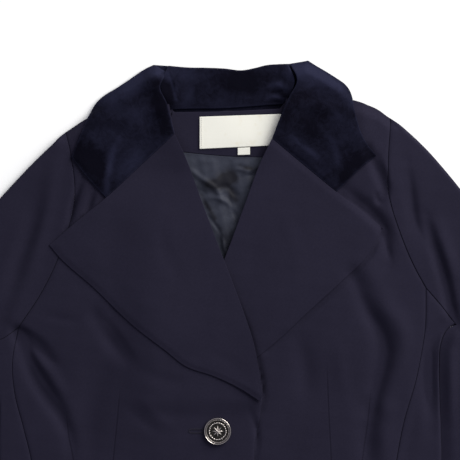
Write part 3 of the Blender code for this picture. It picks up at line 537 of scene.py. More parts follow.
class Relief:
    """The heights of the cloth as it lies, in millimetres."""

    def __init__(self) -> None:
        """Work out the curves that the heights follow."""
        self.shoulder_right = smooth(RIGHT.shoulder)
        self.shoulder_left = smooth(LEFT.shoulder)
        self.fall_low = smooth(BACK_FALL_LOW)

    def folded(self, x: np.ndarray, y: np.ndarray, folds: tuple[Fold, ...]) -> np.ndarray:
        """The height that a set of folds adds at each place."""
        height = np.zeros(np.shape(x))
        for fold in folds:
            path = smooth(fold.places, 4)
            margin = 3.2 * fold.width
            near = ((x > path[:, 0].min() - margin) & (x < path[:, 0].max() + margin)
                    & (y > path[:, 1].min() - margin) & (y < path[:, 1].max() + margin))
            if not near.any():
                continue
            far, along = reach(x[near], y[near], path)
            swell = np.sin(math.pi * along)
            strength = np.maximum(swell, np.where(along < 0.5, fold.first, fold.last))
            height[near] += fold.height * strength * np.exp(-((far / fold.width) ** 2))
        return height

    def neck_floor(self, x: np.ndarray, y: np.ndarray) -> np.ndarray:
        """Height that the collar's back fall lifts what lies on it."""
        below = np.interp(x, self.fall_low[:, 0], self.fall_low[:, 1]) - y
        beside = np.abs(x) - 146
        return NECK_RISE * rise(1 - (below - 6) / 45) * rise(1 - beside / 18)

    def shoulder_depth(self, x: np.ndarray, y: np.ndarray) -> np.ndarray:
        """How far a place lies inside the shoulder line, below nothing where it lies outside."""
        right = np.interp(x, self.shoulder_right[:, 0], self.shoulder_right[:, 1]) - y
        left = np.interp(x, self.shoulder_left[:, 0], self.shoulder_left[:, 1]) - y
        return np.where(x < 6, right, left)

    def waves(self, x: np.ndarray, y: np.ndarray) -> np.ndarray:
        """Low uneven waves, as laid cloth has between its folds."""
        return (0.22 * np.sin(0.061 * x + 0.037 * y + 0.6) * np.sin(0.029 * x - 0.052 * y)
                + 0.16 * np.sin(0.113 * x - 0.071 * y + 2.0) * np.sin(0.047 * x + 0.094 * y + 1.0)
                + 0.10 * np.sin(0.19 * x + 0.16 * y) * np.sin(0.13 * x - 0.21 * y + 0.4))

    def cloth_top(self, x: np.ndarray, y: np.ndarray) -> np.ndarray:
        """Height of the outer face of the fronts, side panels and sleeves."""
        height = np.full(np.shape(x), LAID_HEIGHT)
        for mound in MOUNDS:
            far = (x - mound.x) ** 2 + (y - mound.y) ** 2
            height = height + mound.height * np.exp(-far / mound.radius**2)
        height = height + self.folded(x, y, FOLDS) + self.folded(x, y, CREASES) + self.waves(x, y)
        height = np.maximum(height, 2 * WOOL + LAYER_GAP)
        inside = np.where(np.abs(x) < 200, self.shoulder_depth(x, y), SHOULDER_ROUND)
        height = FOLDED_EDGE + (height - FOLDED_EDGE) * rise(0.12 + inside / SHOULDER_ROUND)
        return height + self.neck_floor(x, y)

    def lap(self, x: np.ndarray, y: np.ndarray) -> np.ndarray:
        """Rise of the right front where it laps over the left front and the left lapel."""
        fallen = LAP_RISE + LAPEL_RISE * rise((y + 326) / 22)
        return rise((x + 120) / 55) * rise((-60 - y) / 80) * fallen

    def turned_under(self, x: np.ndarray, y: np.ndarray, roll: Run, lapped: bool) -> np.ndarray:
        """Underside of a lapel or a fall that lies turned back on the front.

        Args:
            x: the places' x.
            y: the places' y.
            roll: the line that it turns over.
            lapped: whether it lies on the right front, which laps over the left one.

        Returns:
            The heights.
        """
        body = self.cloth_top(x, y) - self.folded(x, y, CREASES) - self.waves(x, y)
        body = np.maximum(body, self.cloth_top(x, y)) + (self.lap(x, y) if lapped else 0.0)
        depth = self.shoulder_depth(x, y)
        beyond = rise(-depth / 10)
        near_shoulder = np.exp(-((depth / 14) ** 2)) * np.where(y > -60, 1.0, 0.0)
        body = (body + 2.2 * near_shoulder) * (1 - beyond) + (2 * WOOL + 4.4) * beyond
        far, along = reach(x, y, smooth(roll))
        return body + TURNED_GAP + ROLL_HEIGHT * (1 - 0.85 * rise(along * 3)) * np.exp(-((far / ROLL_WIDTH) ** 2))


def raised(grid: np.ndarray, heights: np.ndarray) -> np.ndarray:
    """A grid of places with a height each."""
    return np.dstack((grid, np.broadcast_to(heights, grid.shape[:2])))


def rim_distance(grid: np.ndarray, sides: str = "tblr") -> np.ndarray:
    """Distance of each point of a grid from the nearest of its named borders.

    Args:
        grid: the places of the grid.
        sides: letters of the borders that count: top, bottom, left and right.

    Returns:
        The distances.
    """
    borders = {"t": grid[:1], "b": grid[-1:], "l": grid[:, :1], "r": grid[:, -1:]}
    return np.min([np.linalg.norm(grid - borders[side], axis=2) for side in sides], axis=0)


def rounding(distance: np.ndarray, radius: float) -> np.ndarray:
    """How far a rounded edge falls away at a distance from its border."""
    short = np.clip(radius - distance, 0, radius)
    return 0.85 * (radius - np.sqrt(np.maximum(radius**2 - short**2, 0)))


def thinned(grid: np.ndarray, thickness: float, sides: str) -> np.ndarray:
    """The thickness at each place of a piece pressed thin along its named borders."""
    return thickness * (THIN_RIM + (1 - THIN_RIM) * rise(rim_distance(grid, sides) / THIN_WIDTH))


def seam_dip(grid: np.ndarray, sides: str) -> np.ndarray:
    """How far the cloth sinks in beside the seams along its named borders, pressed open below the arm."""
    below = -grid[..., 1]
    pressed = rise((below - 233) / 6) * (1 - rise((below - 272) / 36))
    return SEAM_DIP * (1 - 0.85 * pressed) * np.exp(-((rim_distance(grid, sides) / SEAM_WIDTH) ** 2))


@dataclass
class Shell:
    """A closed wall of cloth between an outer and an inner grid of points, in millimetres."""

    outer: np.ndarray
    inner: np.ndarray
    plan: np.ndarray
    marks: dict[str, np.ndarray] = field(default_factory=dict)

    def faces(self) -> list[tuple[int, int, int, int]]:
        """The four-sided faces: the outer grid, the inner grid and the wall round their borders."""
        rows, columns = self.outer.shape[:2]
        count = rows * columns
        corner = (np.arange(rows - 1)[:, None] * columns + np.arange(columns - 1)[None, :]).reshape(-1)
        outer = np.stack((corner, corner + 1, corner + columns + 1, corner + columns), axis=1)
        border = np.concatenate((
            np.arange(columns),
            np.arange(1, rows) * columns + columns - 1,
            (rows - 1) * columns + np.arange(columns - 2, -1, -1),
            np.arange(rows - 2, 0, -1) * columns,
        ))
        after = np.roll(border, -1)
        wall = np.stack((after, border, count + border, count + after), axis=1)
        return np.vstack((outer, outer[:, ::-1] + count, wall)).tolist()

    def points(self) -> np.ndarray:
        """All points, the outer grid's first."""
        return np.vstack((self.outer.reshape(-1, 3), self.inner.reshape(-1, 3)))

    def area(self) -> float:
        """Area of the outer grid, in square metres."""
        down, across = np.diff(self.outer, axis=0)[:, :-1], np.diff(self.outer, axis=1)[:-1]
        return float(np.linalg.norm(np.cross(down, across), axis=2).sum()) * MM * MM


def sheet_of(grid: np.ndarray, under: np.ndarray, thickness: float | np.ndarray, sides: str = "tblr") -> Shell:
    """A wall of cloth, upwards from its underside, with rounded borders, pressed sharp at the others.

    Args:
        grid: the places of the grid.
        under: the heights of the underside.
        thickness: the cloth's thickness, or its thickness at each place.
        sides: letters of the borders that are rounded off.

    Returns:
        The shell.
    """
    fall = rounding(rim_distance(grid, sides), thickness / 2)
    pressed = "".join(side for side in "tblr" if side not in sides)
    if pressed:
        fall = np.maximum(fall, rounding(rim_distance(grid, pressed), PRESSED_RADIUS))
    return Shell(raised(grid, under + thickness - fall), raised(grid, under + fall), grid)


class Rolled:
    """Cloth whose first or last column rolls under to the floor, in a half circle."""

    def __init__(self, patch: Patch, across: np.ndarray, down: np.ndarray, first: bool, tuck: float,
                 seams: str) -> None:
        """Keep the pattern piece, its fractions, the side that rolls, its tuck and its sunk borders."""
        self.patch = patch
        self.across = across
        self.down = down
        self.first = first
        self.tuck = tuck
        self.seams = seams

    def shell(self, relief: Relief, fall_from: np.ndarray | None, arc_steps: int = 12) -> Shell:
        """Work out the shell.

        Args:
            relief: the heights of the cloth.
            fall_from: a path where the height falls to the folded edge's, if there is one.
            arc_steps: steps round the half circle.

        Returns:
            The shell.
        """
        grid = self.patch.grid(self.across, self.down)
        beside = self.patch.grid(np.array([self.tuck, 1 - self.tuck]), self.down)
        if not self.first:
            grid = grid[:, ::-1]
        edge, beside = grid[:, 0], beside[:, 0 if self.first else 1]
        away = edge - beside
        away /= np.linalg.norm(away, axis=1, keepdims=True)
        radius = self._heights(edge, relief, fall_from) / 2
        grid = self._shortened(grid, radius)
        top = self._heights(grid.reshape(-1, 2), relief, fall_from).reshape(grid.shape[:2])
        radius = top[:, 0] / 2
        seams = seam_dip(grid, self.seams)
        top = top - np.where(np.arange(top.shape[1]) > 0, seams, 0.0)
        edges = rounding(rim_distance(grid, "tbr"), WOOL / 2)
        outer = [column for column in np.moveaxis(raised(grid, top - edges), 1, 0)][::-1]
        inner = [column for column in np.moveaxis(raised(grid, top - WOOL + edges), 1, 0)][::-1]
        plan = [column for column in np.moveaxis(grid, 1, 0)][::-1]
        for step in range(1, arc_steps + 1):
            turn = math.pi / 2 - math.pi * step / arc_steps
            for columns, bend in ((outer, radius), (inner, radius - WOOL)):
                place = grid[:, 0] + away * (bend * math.cos(turn))[:, None]
                columns.append(np.column_stack((place, radius + bend * math.sin(turn))))
            plan.append(grid[:, 0] + away * (radius * math.pi * step / arc_steps)[:, None])
        for share in (0.25, 0.5, 0.75, 1.0):
            place = grid[:, 0] * (1 - share) + (beside + away * SEAM_INSET) * share
            outer.append(np.column_stack((place, np.zeros(len(place)))))
            inner.append(np.column_stack((place, np.full(len(place), WOOL))))
            plan.append(place)
        return Shell(np.stack(outer, axis=1), np.stack(inner, axis=1), np.stack(plan, axis=1))

    def _heights(self, places: np.ndarray, relief: Relief, fall_from: np.ndarray | None) -> np.ndarray:
        """Height of the outer face at places, lower near the path that it falls to."""
        top = relief.cloth_top(places[:, 0], places[:, 1])
        if fall_from is None:
            return top
        far, _ = reach(places[:, 0], places[:, 1], fall_from)
        return FOLDED_EDGE + (top - FOLDED_EDGE) * rise(0.12 + np.abs(far) / SHOULDER_ROUND)

    def _shortened(self, grid: np.ndarray, radius: np.ndarray) -> np.ndarray:
        """The grid with each row ended a radius before the edge, and drawn in at its other borders."""
        moved = grid.copy()
        for row in range(len(grid)):
            knots = lengths(grid[row])
            share = knots / knots[-1]
            at = radius[row] + share * (knots[-1] - radius[row] - SEAM_INSET)
            for axis in (0, 1):
                moved[row, :, axis] = np.interp(at, knots, grid[row, :, axis])
        for edge, next_row in ((0, 6), (-1, -7)):
            step = moved[next_row] - moved[edge]
            moved[edge] += step / np.linalg.norm(step, axis=1, keepdims=True) * SEAM_INSET
        return moved


class Graph:
    """A node tree that is built by type, settings and sockets."""

    def __init__(self, tree: bpy.types.NodeTree) -> None:
        """Keep the tree."""
        self.tree = tree

    def node(self, kind: str, settings: dict[str, object] | None = None,
             sockets: dict[str | int, object] | None = None) -> bpy.types.Node:
        """Add a node.

        Args:
            kind: the node's type.
            settings: its properties, set first; stops holds a ramp's places and colours.
            sockets: the values or links of its inputs.

        Returns:
            The node.
        """
        made = self.tree.nodes.new(kind)
        for key, value in (settings or {}).items():
            if key == "stops":
                self._stops(made.color_ramp, value)
            else:
                setattr(made, key, value)
        for key, value in (sockets or {}).items():
            self.feed(made.inputs[key], value)
        return made

    def feed(self, socket: bpy.types.NodeSocket, value: object) -> None:
        """Link a socket to another, or set its value."""
        if isinstance(value, Value):
            value = value.socket
        if isinstance(value, bpy.types.NodeSocket):
            self.tree.links.new(value, socket)
        else:
            socket.default_value = value

    def _stops(self, ramp: bpy.types.ColorRamp, stops: tuple[tuple[float, float], ...]) -> None:
        """Give a ramp its grey stops."""
        while len(ramp.elements) < len(stops):
            ramp.elements.new(0.5)
        for element, (place, grey) in zip(ramp.elements, stops):
            element.position = place
            element.color = (grey, grey, grey, 1.0)


class Value:
    """A socket that takes part in sums: each operator adds its Math node."""

    def __init__(self, graph: Graph, socket: bpy.types.NodeSocket) -> None:
        """Keep the graph and the socket."""
        self.graph = graph
        self.socket = socket

    def _sum(self, operation: str, first: object, second: object = 0.0, clamp: bool = False) -> "Value":
        """Add a Math node on two values."""
        made = self.graph.node("ShaderNodeMath", {"operation": operation, "use_clamp": clamp},
                               {0: first, 1: second})
        return Value(self.graph, made.outputs[0])

    def __add__(self, other: object) -> "Value":
        """This value plus another."""
        return self._sum("ADD", self, other)

    def __radd__(self, other: object) -> "Value":
        """A number plus this value."""
        return self._sum("ADD", other, self)

    def __sub__(self, other: object) -> "Value":
        """This value less another."""
        return self._sum("SUBTRACT", self, other)

    def __rsub__(self, other: object) -> "Value":
        """A number less this value."""
        return self._sum("SUBTRACT", other, self)

    def __mul__(self, other: object) -> "Value":
        """This value times another."""
        return self._sum("MULTIPLY", self, other)

    def __rmul__(self, other: object) -> "Value":
        """A number times this value."""
        return self._sum("MULTIPLY", other, self)

    def __truediv__(self, other: object) -> "Value":
        """This value divided by another."""
        return self._sum("DIVIDE", self, other)

    def __pow__(self, other: object) -> "Value":
        """This value to a power."""
        return self._sum("POWER", self, other)

    def __abs__(self) -> "Value":
        """This value without its sign."""
        return self._sum("ABSOLUTE", self)

    def clamped(self) -> "Value":
        """This value kept from 0 to 1."""
        return self._sum("ADD", self, 0.0, clamp=True)


class Ink(Graph):
    """A material's node tree, on a Principled BSDF."""

    def __init__(self, name: str) -> None:
        """Start the material."""
        self.material = bpy.data.materials.new(name)
        self.material.use_nodes = True
        super().__init__(self.material.node_tree)
        self.shader = self.tree.nodes["Principled BSDF"]

    def constant(self, **sockets: object) -> None:
        """Set the shader's own sockets."""
        for name, value in sockets.items():
            self.shader.inputs[name.replace("_", " ")].default_value = value

    def attribute(self, name: str) -> Value:
        """The value of a piece's own attribute."""
        return Value(self, self.node("ShaderNodeAttribute", {"attribute_name": name}).outputs["Fac"])

    def pattern(self) -> bpy.types.NodeSocket:
        """The place on the cloth, from the piece's own UV map."""
        return self.node("ShaderNodeUVMap", {"uv_map": "cloth"}).outputs["UV"]

    def place(self) -> bpy.types.NodeSocket:
        """The place in the frame, from Object coordinates."""
        return self.node("ShaderNodeTexCoord").outputs["Object"]

    def noise(self, vector: object, scale: float, detail: float = 2.0, roughness: float = 0.5,
              distortion: float = 0.0) -> Value:
        """Even noise, from 0 to 1."""
        made = self.node("ShaderNodeTexNoise", None, {
            "Vector": vector, "Scale": scale, "Detail": detail, "Roughness": roughness, "Distortion": distortion})
        return Value(self, made.outputs["Fac"])

    def bands(self, vector: object, direction: str, period: float, distortion: float = 0.0) -> Value:
        """Even bands, from 0 to 1, a period in metres apart."""
        turns = {"X": 20.0, "Y": 20.0, "DIAGONAL": 10.0 * math.sqrt(2)}[direction]
        made = self.node("ShaderNodeTexWave", {"bands_direction": direction}, {
            "Vector": vector, "Scale": 2 * math.pi / (turns * period), "Distortion": distortion,
            "Detail": 1.0, "Detail Scale": 2.0})
        return Value(self, made.outputs["Fac"])

    def blend(self, factor: Value, first: Colour, second: Colour | bpy.types.NodeSocket,
              start: bpy.types.NodeSocket | None = None) -> bpy.types.NodeSocket:
        """A colour between two, by a factor.

        Args:
            factor: 0 for the first colour, 1 for the second.
            first: the first colour, where start is left out.
            second: the second colour.
            start: a linked first colour.

        Returns:
            The colour's socket.
        """
        last = second if isinstance(second, bpy.types.NodeSocket) else (*second, 1.0)
        made = self.node("ShaderNodeMix", {"data_type": "RGBA"}, {0: factor})
        self.feed(made.inputs[6], start if start is not None else (*first, 1.0))
        self.feed(made.inputs[7], last)
        return made.outputs[2]

    def bump(self, height: Value, strength: float) -> None:
        """Feed a height, in millimetres, to the shader's normal."""
        made = self.node("ShaderNodeBump", None, {"Strength": strength, "Distance": MM, "Height": height})
        self.feed(self.shader.inputs["Normal"], made.outputs["Normal"])


@dataclass(frozen=True)
class WoolFinish:
    """Fine matte wool twill, very dark navy; where it has darts, painted shade darkens their grooves."""

    name: str = "navy_wool_twill"
    deep: Colour = (0.0104, 0.0091, 0.0191)
    light: Colour = (0.0179, 0.0162, 0.0316)
    sheen: float = 0.03
    darts: bool = False

    def material(self) -> bpy.types.Material:
        """Build the material."""
        ink = Ink(self.name)
        cloth = ink.pattern()
        twill = ink.bands(cloth, "DIAGONAL", 0.0007, 0.6)
        fibre = ink.noise(cloth, 1300.0, 2.0, 0.6)
        fleck = ink.noise(cloth, 420.0, 2.0)
        broad = ink.noise(cloth, 17.0, 3.0)
        tone = (twill - 0.5) * 0.30 + (fibre - 0.5) * 0.9 + (fleck - 0.5) * 0.7 + (broad - 0.5) * 0.5 + 0.5
        height = twill * 0.05 + fibre * 0.10 + fleck * 0.05
        if self.darts:
            for name in ("dart_inner", "dart_outer"):
                # Painted shade: each dart's line is sunk in the bump and darkened in colour as the shade of its
                # groove
                line = (1.0 - abs(ink.attribute(name)) / 1.5).clamped() ** 1.6 * ink.attribute(name + "_on")
                tone = tone - line * 0.7
                height = height - line * 0.6
        colour = ink.blend(tone.clamped(), self.deep, self.light)
        ink.feed(ink.shader.inputs["Base Color"], colour)
        ink.constant(Roughness=0.88, Sheen_Weight=self.sheen, Sheen_Roughness=0.45,
                     Sheen_Tint=(0.62, 0.60, 0.80, 1.0), Specular_IOR_Level=0.08)
        ink.bump(height, 0.55)
        return ink.material


@dataclass(frozen=True)
class VelvetFinish:
    """Short-pile velvet, nearly black navy, painted blue as sheen where its pile catches the light."""

    name: str = "navy_velvet_pile"
    deep: Colour = (0.0020, 0.0018, 0.0052)
    lit: Colour = (0.0140, 0.0147, 0.0324)

    def material(self) -> bpy.types.Material:
        """Build the material."""
        ink = Ink(self.name)
        place = ink.place()
        brushed = ink.noise(place, 28.0, 4.0, 0.6, 0.8)
        crushed = ink.noise(place, 130.0, 4.0, 0.65, 1.2)
        pile = ink.noise(place, 1500.0, 2.0, 0.6)
        # Painted sheen: the piece's painted sheen and shade marks, with noise that mottles the pile, move the
        # colour from deep towards the lit blue
        painted_pile_sheen = (ink.attribute("painted_pile_sheen") * 0.6 + (brushed - 0.5) * 0.8 + (crushed - 0.5) * 0.75
               + (pile - 0.5) * 0.25 + 0.27)
        colour = ink.blend(painted_pile_sheen.clamped(), self.deep, self.lit)
        ink.feed(ink.shader.inputs["Base Color"], colour)
        ink.constant(Roughness=0.95, Sheen_Weight=0.10, Sheen_Roughness=0.30,
                     Sheen_Tint=(0.42, 0.44, 0.76, 1.0), Specular_IOR_Level=0.05)
        ink.bump(pile * 0.16 + crushed * 0.7 + brushed * 0.6, 0.6)
        return ink.material


@dataclass(frozen=True)
class SatinFinish:
    """Blue-grey satin, softly creased, its colour run between a painted shade and a lit colour."""

    name: str = "blue_grey_satin"
    shade: Colour = (0.0095, 0.0095, 0.0145)
    lit: Colour = (0.0334, 0.0370, 0.0552)

    def material(self) -> bpy.types.Material:
        """Build the material."""
        ink = Ink(self.name)
        cloth = ink.pattern()
        small = ink.noise(cloth, 150.0, 3.0, 0.6, 0.6)
        thread = ink.bands(cloth, "Y", 0.0006)
        # Painted shade: the shade mark darkens the creases, and noise spreads painted light and shade in patches
        # between the two colours
        tone = 0.8 - ink.attribute("shade") + (small - 0.5) * 0.7 + (thread - 0.5) * 0.1
        colour = ink.blend(tone.clamped(), self.shade, self.lit)
        ink.feed(ink.shader.inputs["Base Color"], colour)
        ink.constant(Roughness=0.55, Sheen_Weight=0.05, Sheen_Roughness=0.4, Specular_IOR_Level=0.12)
        ink.bump(small * 0.5 + thread * 0.02, 0.5)
        return ink.material


@dataclass(frozen=True)
class RibbonFinish:
    """Ivory woven ribbon with faint yellow stains."""

    name: str = "ivory_woven_ribbon"
    clean: Colour = (0.78, 0.77, 0.70)
    stained: Colour = (0.62, 0.54, 0.34)

    def material(self) -> bpy.types.Material:
        """Build the material."""
        ink = Ink(self.name)
        cloth = ink.pattern()
        weft = ink.bands(cloth, "Y", 0.0006, 0.4)
        warp = ink.bands(cloth, "X", 0.0009, 0.3)
        stain = ink.noise(cloth, 70.0, 4.0, 0.6)
        stains = (stain * 4.0 - 2.2).clamped() * 0.4 + (weft - 0.5) * 0.08 + (warp - 0.5) * 0.05
        colour = ink.blend(stains.clamped(), self.clean, self.stained)
        ink.feed(ink.shader.inputs["Base Color"], colour)
        ink.constant(Roughness=0.7, Sheen_Weight=0.1, Specular_IOR_Level=0.3)
        ink.bump(weft * 0.08 + warp * 0.05, 0.6)
        return ink.material


@dataclass(frozen=True)
class SilverFinish:
    """Struck metal in antique silver, dark in its recesses."""

    name: str = "antique_silver"
    bright: Colour = (0.47, 0.43, 0.41)
    dark: Colour = (0.022, 0.020, 0.019)

    def material(self) -> bpy.types.Material:
        """Build the material."""
        ink = Ink(self.name)
        place = ink.place()
        tarnish = ink.noise(place, 700.0, 3.0, 0.6)
        recess = (ink.attribute("recess") + (tarnish - 0.5) * 0.5).clamped()
        colour = ink.blend(recess, self.bright, self.dark)
        ink.feed(ink.shader.inputs["Base Color"], colour)
        ink.feed(ink.shader.inputs["Roughness"], 0.24 + recess * 0.35)
        ink.constant(Metallic=1.0)
        ink.bump(tarnish * 0.08, 0.4)
        return ink.material


@dataclass(frozen=True)
class ThreadFinish:
    """Twisted sewing thread."""

    name: str = "navy_thread"
    colour: Colour = (0.009, 0.008, 0.017)
    light: Colour = (0.018, 0.016, 0.030)

    def material(self) -> bpy.types.Material:
        """Build the material."""
        ink = Ink(self.name)
        twist = ink.bands(ink.place(), "DIAGONAL", 0.00035)
        ink.feed(ink.shader.inputs["Base Color"], ink.blend(twist, self.colour, self.light))
        ink.constant(Roughness=0.75, Sheen_Weight=0.03, Specular_IOR_Level=0.2)
        ink.bump(twist * 0.05, 0.5)
        return ink.material


@dataclass(frozen=True)
class FloorFinish:
    """Plain pale floor."""

    name: str = "pale_floor"
    colour: Colour = (0.99, 0.99, 0.99)

    def material(self) -> bpy.types.Material:
        """Build the material."""
        ink = Ink(self.name)
        ink.constant(Base_Color=(*self.colour, 1.0), Roughness=0.9, Specular_IOR_Level=0.1)
        return ink.material


class Workroom:
    """Makes each piece's mesh in the frame, dresses it and enters it there."""

    def __init__(self) -> None:
        """Find the pattern's origin in the frame and make the finishes."""
        low, high = (Vector(corner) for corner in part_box("button_1"))
        first = BUTTON_CENTRES[0]
        self.origin = np.array(((low.x + high.x) / 2 - first[0] * MM, (low.y + high.y) / 2 - first[1] * MM, 0.0))
        self.wool = WoolFinish().material()
        self.front_wool = WoolFinish(name="navy_wool_twill_darted", darts=True).material()
        self.velvet = VelvetFinish().material()
        self.satin = SatinFinish().material()
        self.ribbon = RibbonFinish().material()
        self.silver = SilverFinish().material()
        self.thread = ThreadFinish().material()
        self.ivory_thread = ThreadFinish(name="ivory_thread", colour=(0.60, 0.57, 0.50),
                                         light=(0.80, 0.77, 0.70)).material()

    def in_frame(self, points: np.ndarray) -> np.ndarray:
        """Points of the pattern, in millimetres, as points of the frame, in metres."""
        return np.asarray(points, float) * MM + self.origin

    def mesh_object(self, name: str, points: np.ndarray, faces: list, material: bpy.types.Material,
                    sharp: float = 40.0) -> bpy.types.Object:
        """An object of these points, its faces turned outwards and shaded smooth.

        Args:
            name: the piece's name.
            points: its points in the pattern, in millimetres.
            faces: its faces, as lists of points.
            material: its material.
            sharp: the angle in degrees from which an edge stays sharp.

        Returns:
            The object.
        """
        mesh = bpy.data.meshes.new(name)
        mesh.from_pydata(self.in_frame(points).tolist(), [], faces)
        body = bmesh.new()
        body.from_mesh(mesh)
        bmesh.ops.recalc_face_normals(body, faces=body.faces)
        body.to_mesh(mesh)
        body.free()
        mesh.shade_smooth()
        mesh.set_sharp_from_angle(angle=math.radians(sharp))
        mesh.materials.append(material)
        thing = bpy.data.objects.new(name, mesh)
        bpy.context.scene.collection.objects.link(thing)
        return thing

    def sew(self, name: str, shell: Shell, material: bpy.types.Material, slot: str, node: str,
            grain: float = 0.0) -> bpy.types.Object:
        """Args:
            name: the piece's name.
            shell: its form.
            material: its material.
            slot: the record's material slot; not used.
            node: the solid that it stands for.
            grain: the angle of its grain in the pattern, in degrees.

        Returns:
            The object.
        """
        thing = self.mesh_object(name + "_cloth", shell.points(), shell.faces(), material)
        turn = math.radians(grain)
        plan = np.tile(shell.plan.reshape(-1, 2), (2, 1)) * MM
        along = np.column_stack((plan[:, 0] * math.cos(turn) + plan[:, 1] * math.sin(turn),
                                 plan[:, 1] * math.cos(turn) - plan[:, 0] * math.sin(turn)))
        mesh = thing.data
        corners = np.empty(len(mesh.loops), dtype=np.int32)
        mesh.loops.foreach_get("vertex_index", corners)
        layer = mesh.uv_layers.new(name="cloth")
        layer.data.foreach_set("uv", along[corners].astype(np.float32).reshape(-1))
        for mark, values in shell.marks.items():
            column = mesh.attributes.new(name=mark, type="FLOAT", domain="POINT")
            column.data.foreach_set("value", np.tile(values.reshape(-1), 2).astype(np.float32))
        self.enter(thing, slot, node)
        size = np.ptp(along, axis=0)
        area = min(shell.area(), float(size[0] * size[1]))
        flat = (float(size[0]), max(float(size[1]), SHORTEST_CUT))
        if area < 0.3 * flat[0] * flat[1]:
            flat = (flat[0], area / 0.3 / flat[0])
        LOG.info("%s: %d faces, cut %.0f by %.0f mm, %.4f square metres", name, len(mesh.polygons),
                 flat[0] / MM, flat[1] / MM, area)
        return thing

    def enter(self, thing: bpy.types.Object, slot: str, node: str | None = None) -> None:
        """Let a piece ride on the body, and hide the solid that it stands for."""
        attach(thing, BODY)
        if node is not None:
            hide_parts(node)


class Stitcher:
    """Lays stitches or beads along a path with Geometry Nodes."""

    def __init__(self, room: Workroom) -> None:
        """Keep the workroom."""
        self.room = room

    def lay(self, name: str, path: np.ndarray, closed: bool, pitch: float, size: tuple[float, float, float],
            lay: Lay, material: bpy.types.Material, slot: str, sides: int = 8) -> bpy.types.Object:
        """Lay small rounded pieces along a path.

        Args:
            name: the piece's name.
            path: the points that they follow, in the pattern, in millimetres.
            closed: whether the path ends where it starts.
            pitch: the distance between two of them.
            size: the length, width and height of one.
            lay: whether its length runs along the path or across it.
            material: its material.
            slot: the record's material slot; not used.
            sides: sides round one.

        Returns:
            The object, a plain mesh.
        """
        line = bpy.data.curves.new(name + "_path", "CURVE")
        line.dimensions = "3D"
        spline = line.splines.new("POLY")
        spline.points.add(len(path) - 1)
        for point, place in zip(spline.points, self.room.in_frame(path)):
            point.co = (*place, 1.0)
        spline.use_cyclic_u = closed
        guide = bpy.data.objects.new(name + "_path", line)
        bpy.context.scene.collection.objects.link(guide)
        tree, names = self._tree(name, lay, material, sides)
        modifier = guide.modifiers.new("stitches", "NODES")
        modifier.node_group = tree
        modifier[names["Pitch"]] = pitch * MM
        modifier[names["Size"]] = tuple(value * MM / 2 for value in size)
        depsgraph = bpy.context.evaluated_depsgraph_get()
        mesh = bpy.data.meshes.new_from_object(guide.evaluated_get(depsgraph))
        mesh.name = name
        thing = bpy.data.objects.new(name, mesh)
        bpy.context.scene.collection.objects.link(thing)
        bpy.data.objects.remove(guide)
        mesh.shade_smooth()
        self.room.enter(thing, slot)
        LOG.info("%s: %d faces", name, len(mesh.polygons))
        return thing

    def _tree(self, name: str, lay: Lay, material: bpy.types.Material,
              sides: int) -> tuple[bpy.types.NodeTree, dict[str, str]]:
        """Build the tree, and give the identifiers of its named inputs."""
        tree = bpy.data.node_groups.new(name, "GeometryNodeTree")
        tree.interface.new_socket("Geometry", in_out="INPUT", socket_type="NodeSocketGeometry")
        pitch = tree.interface.new_socket("Pitch", in_out="INPUT", socket_type="NodeSocketFloat")
        size = tree.interface.new_socket("Size", in_out="INPUT", socket_type="NodeSocketVector")
        tree.interface.new_socket("Geometry", in_out="OUTPUT", socket_type="NodeSocketGeometry")
        graph = Graph(tree)
        start = graph.node("NodeGroupInput")
        spaced = graph.node("GeometryNodeResampleCurve", {"mode": "LENGTH"},
                            {"Curve": start.outputs["Geometry"], "Length": start.outputs["Pitch"]})
        ball = graph.node("GeometryNodeMeshUVSphere", None, {"Segments": sides, "Rings": 6, "Radius": 1.0})
        heading = graph.node("FunctionNodeAlignRotationToVector", {"axis": lay.value},
                             {"Vector": graph.node("GeometryNodeInputTangent").outputs[0]})
        placed = graph.node("GeometryNodeInstanceOnPoints", None, {
            "Points": spaced.outputs["Curve"], "Instance": ball.outputs["Mesh"],
            "Rotation": heading.outputs["Rotation"], "Scale": start.outputs["Size"]})
        real = graph.node("GeometryNodeRealizeInstances", None, {"Geometry": placed.outputs["Instances"]})
        dressed = graph.node("GeometryNodeSetMaterial", None,
                             {"Geometry": real.outputs["Geometry"], "Material": material})
        graph.node("NodeGroupOutput", None, {"Geometry": dressed.outputs["Geometry"]})
        return tree, {"Pitch": pitch.identifier, "Size": size.identifier}


@dataclass
class Front:
    """A front of the jacket, from the shoulder to the hem, with its two darts."""

    cut: Cut
    step: float = 2.6

    def patch(self) -> Patch:
        """The pattern piece."""
        cut = self.cut
        side = Edge.through(cut.armhole, cut.panel, shares=(15, 17))
        runs = (cut.neck, cut.roll, cut.edge, cut.corner) if cut.corner else (cut.neck, cut.roll, cut.edge)
        front = Edge.through(*runs)
        left, right = (side, front) if cut.side is Side.RIGHT else (front, side)
        return Patch(Edge.through(cut.shoulder), Edge.through(cut.hem), left, right)

    def shell(self, relief: Relief) -> Shell:
        """The front's form, with the distances to its darts."""
        grid = drawn_in(self.patch().grid(spread(240, self.step), spread(640, self.step)))
        x, y = grid[..., 0], grid[..., 1]
        top = relief.cloth_top(x, y)
        if self.cut.side is Side.RIGHT:
            top = top + relief.lap(x, y)
        seam = "l" if self.cut.side is Side.RIGHT else "r"
        shell = sheet_of(grid, top - WOOL - seam_dip(grid, seam), WOOL, "tb" + seam)
        for name, places in zip(("dart_inner", "dart_outer"), self.cut.darts):
            far, along = reach(x, y, smooth(places))
            shell.marks[name] = np.clip(far, -8, 8)
            shell.marks[name + "_on"] = rise(along * 6) * rise((1 - along) * 6)
        return shell

    def build(self, room: Workroom, relief: Relief) -> bpy.types.Object:
        """Make the front."""
        name = "front_" + self.cut.side.value
        return room.sew(name, self.shell(relief), room.front_wool, "navy_wool", name)


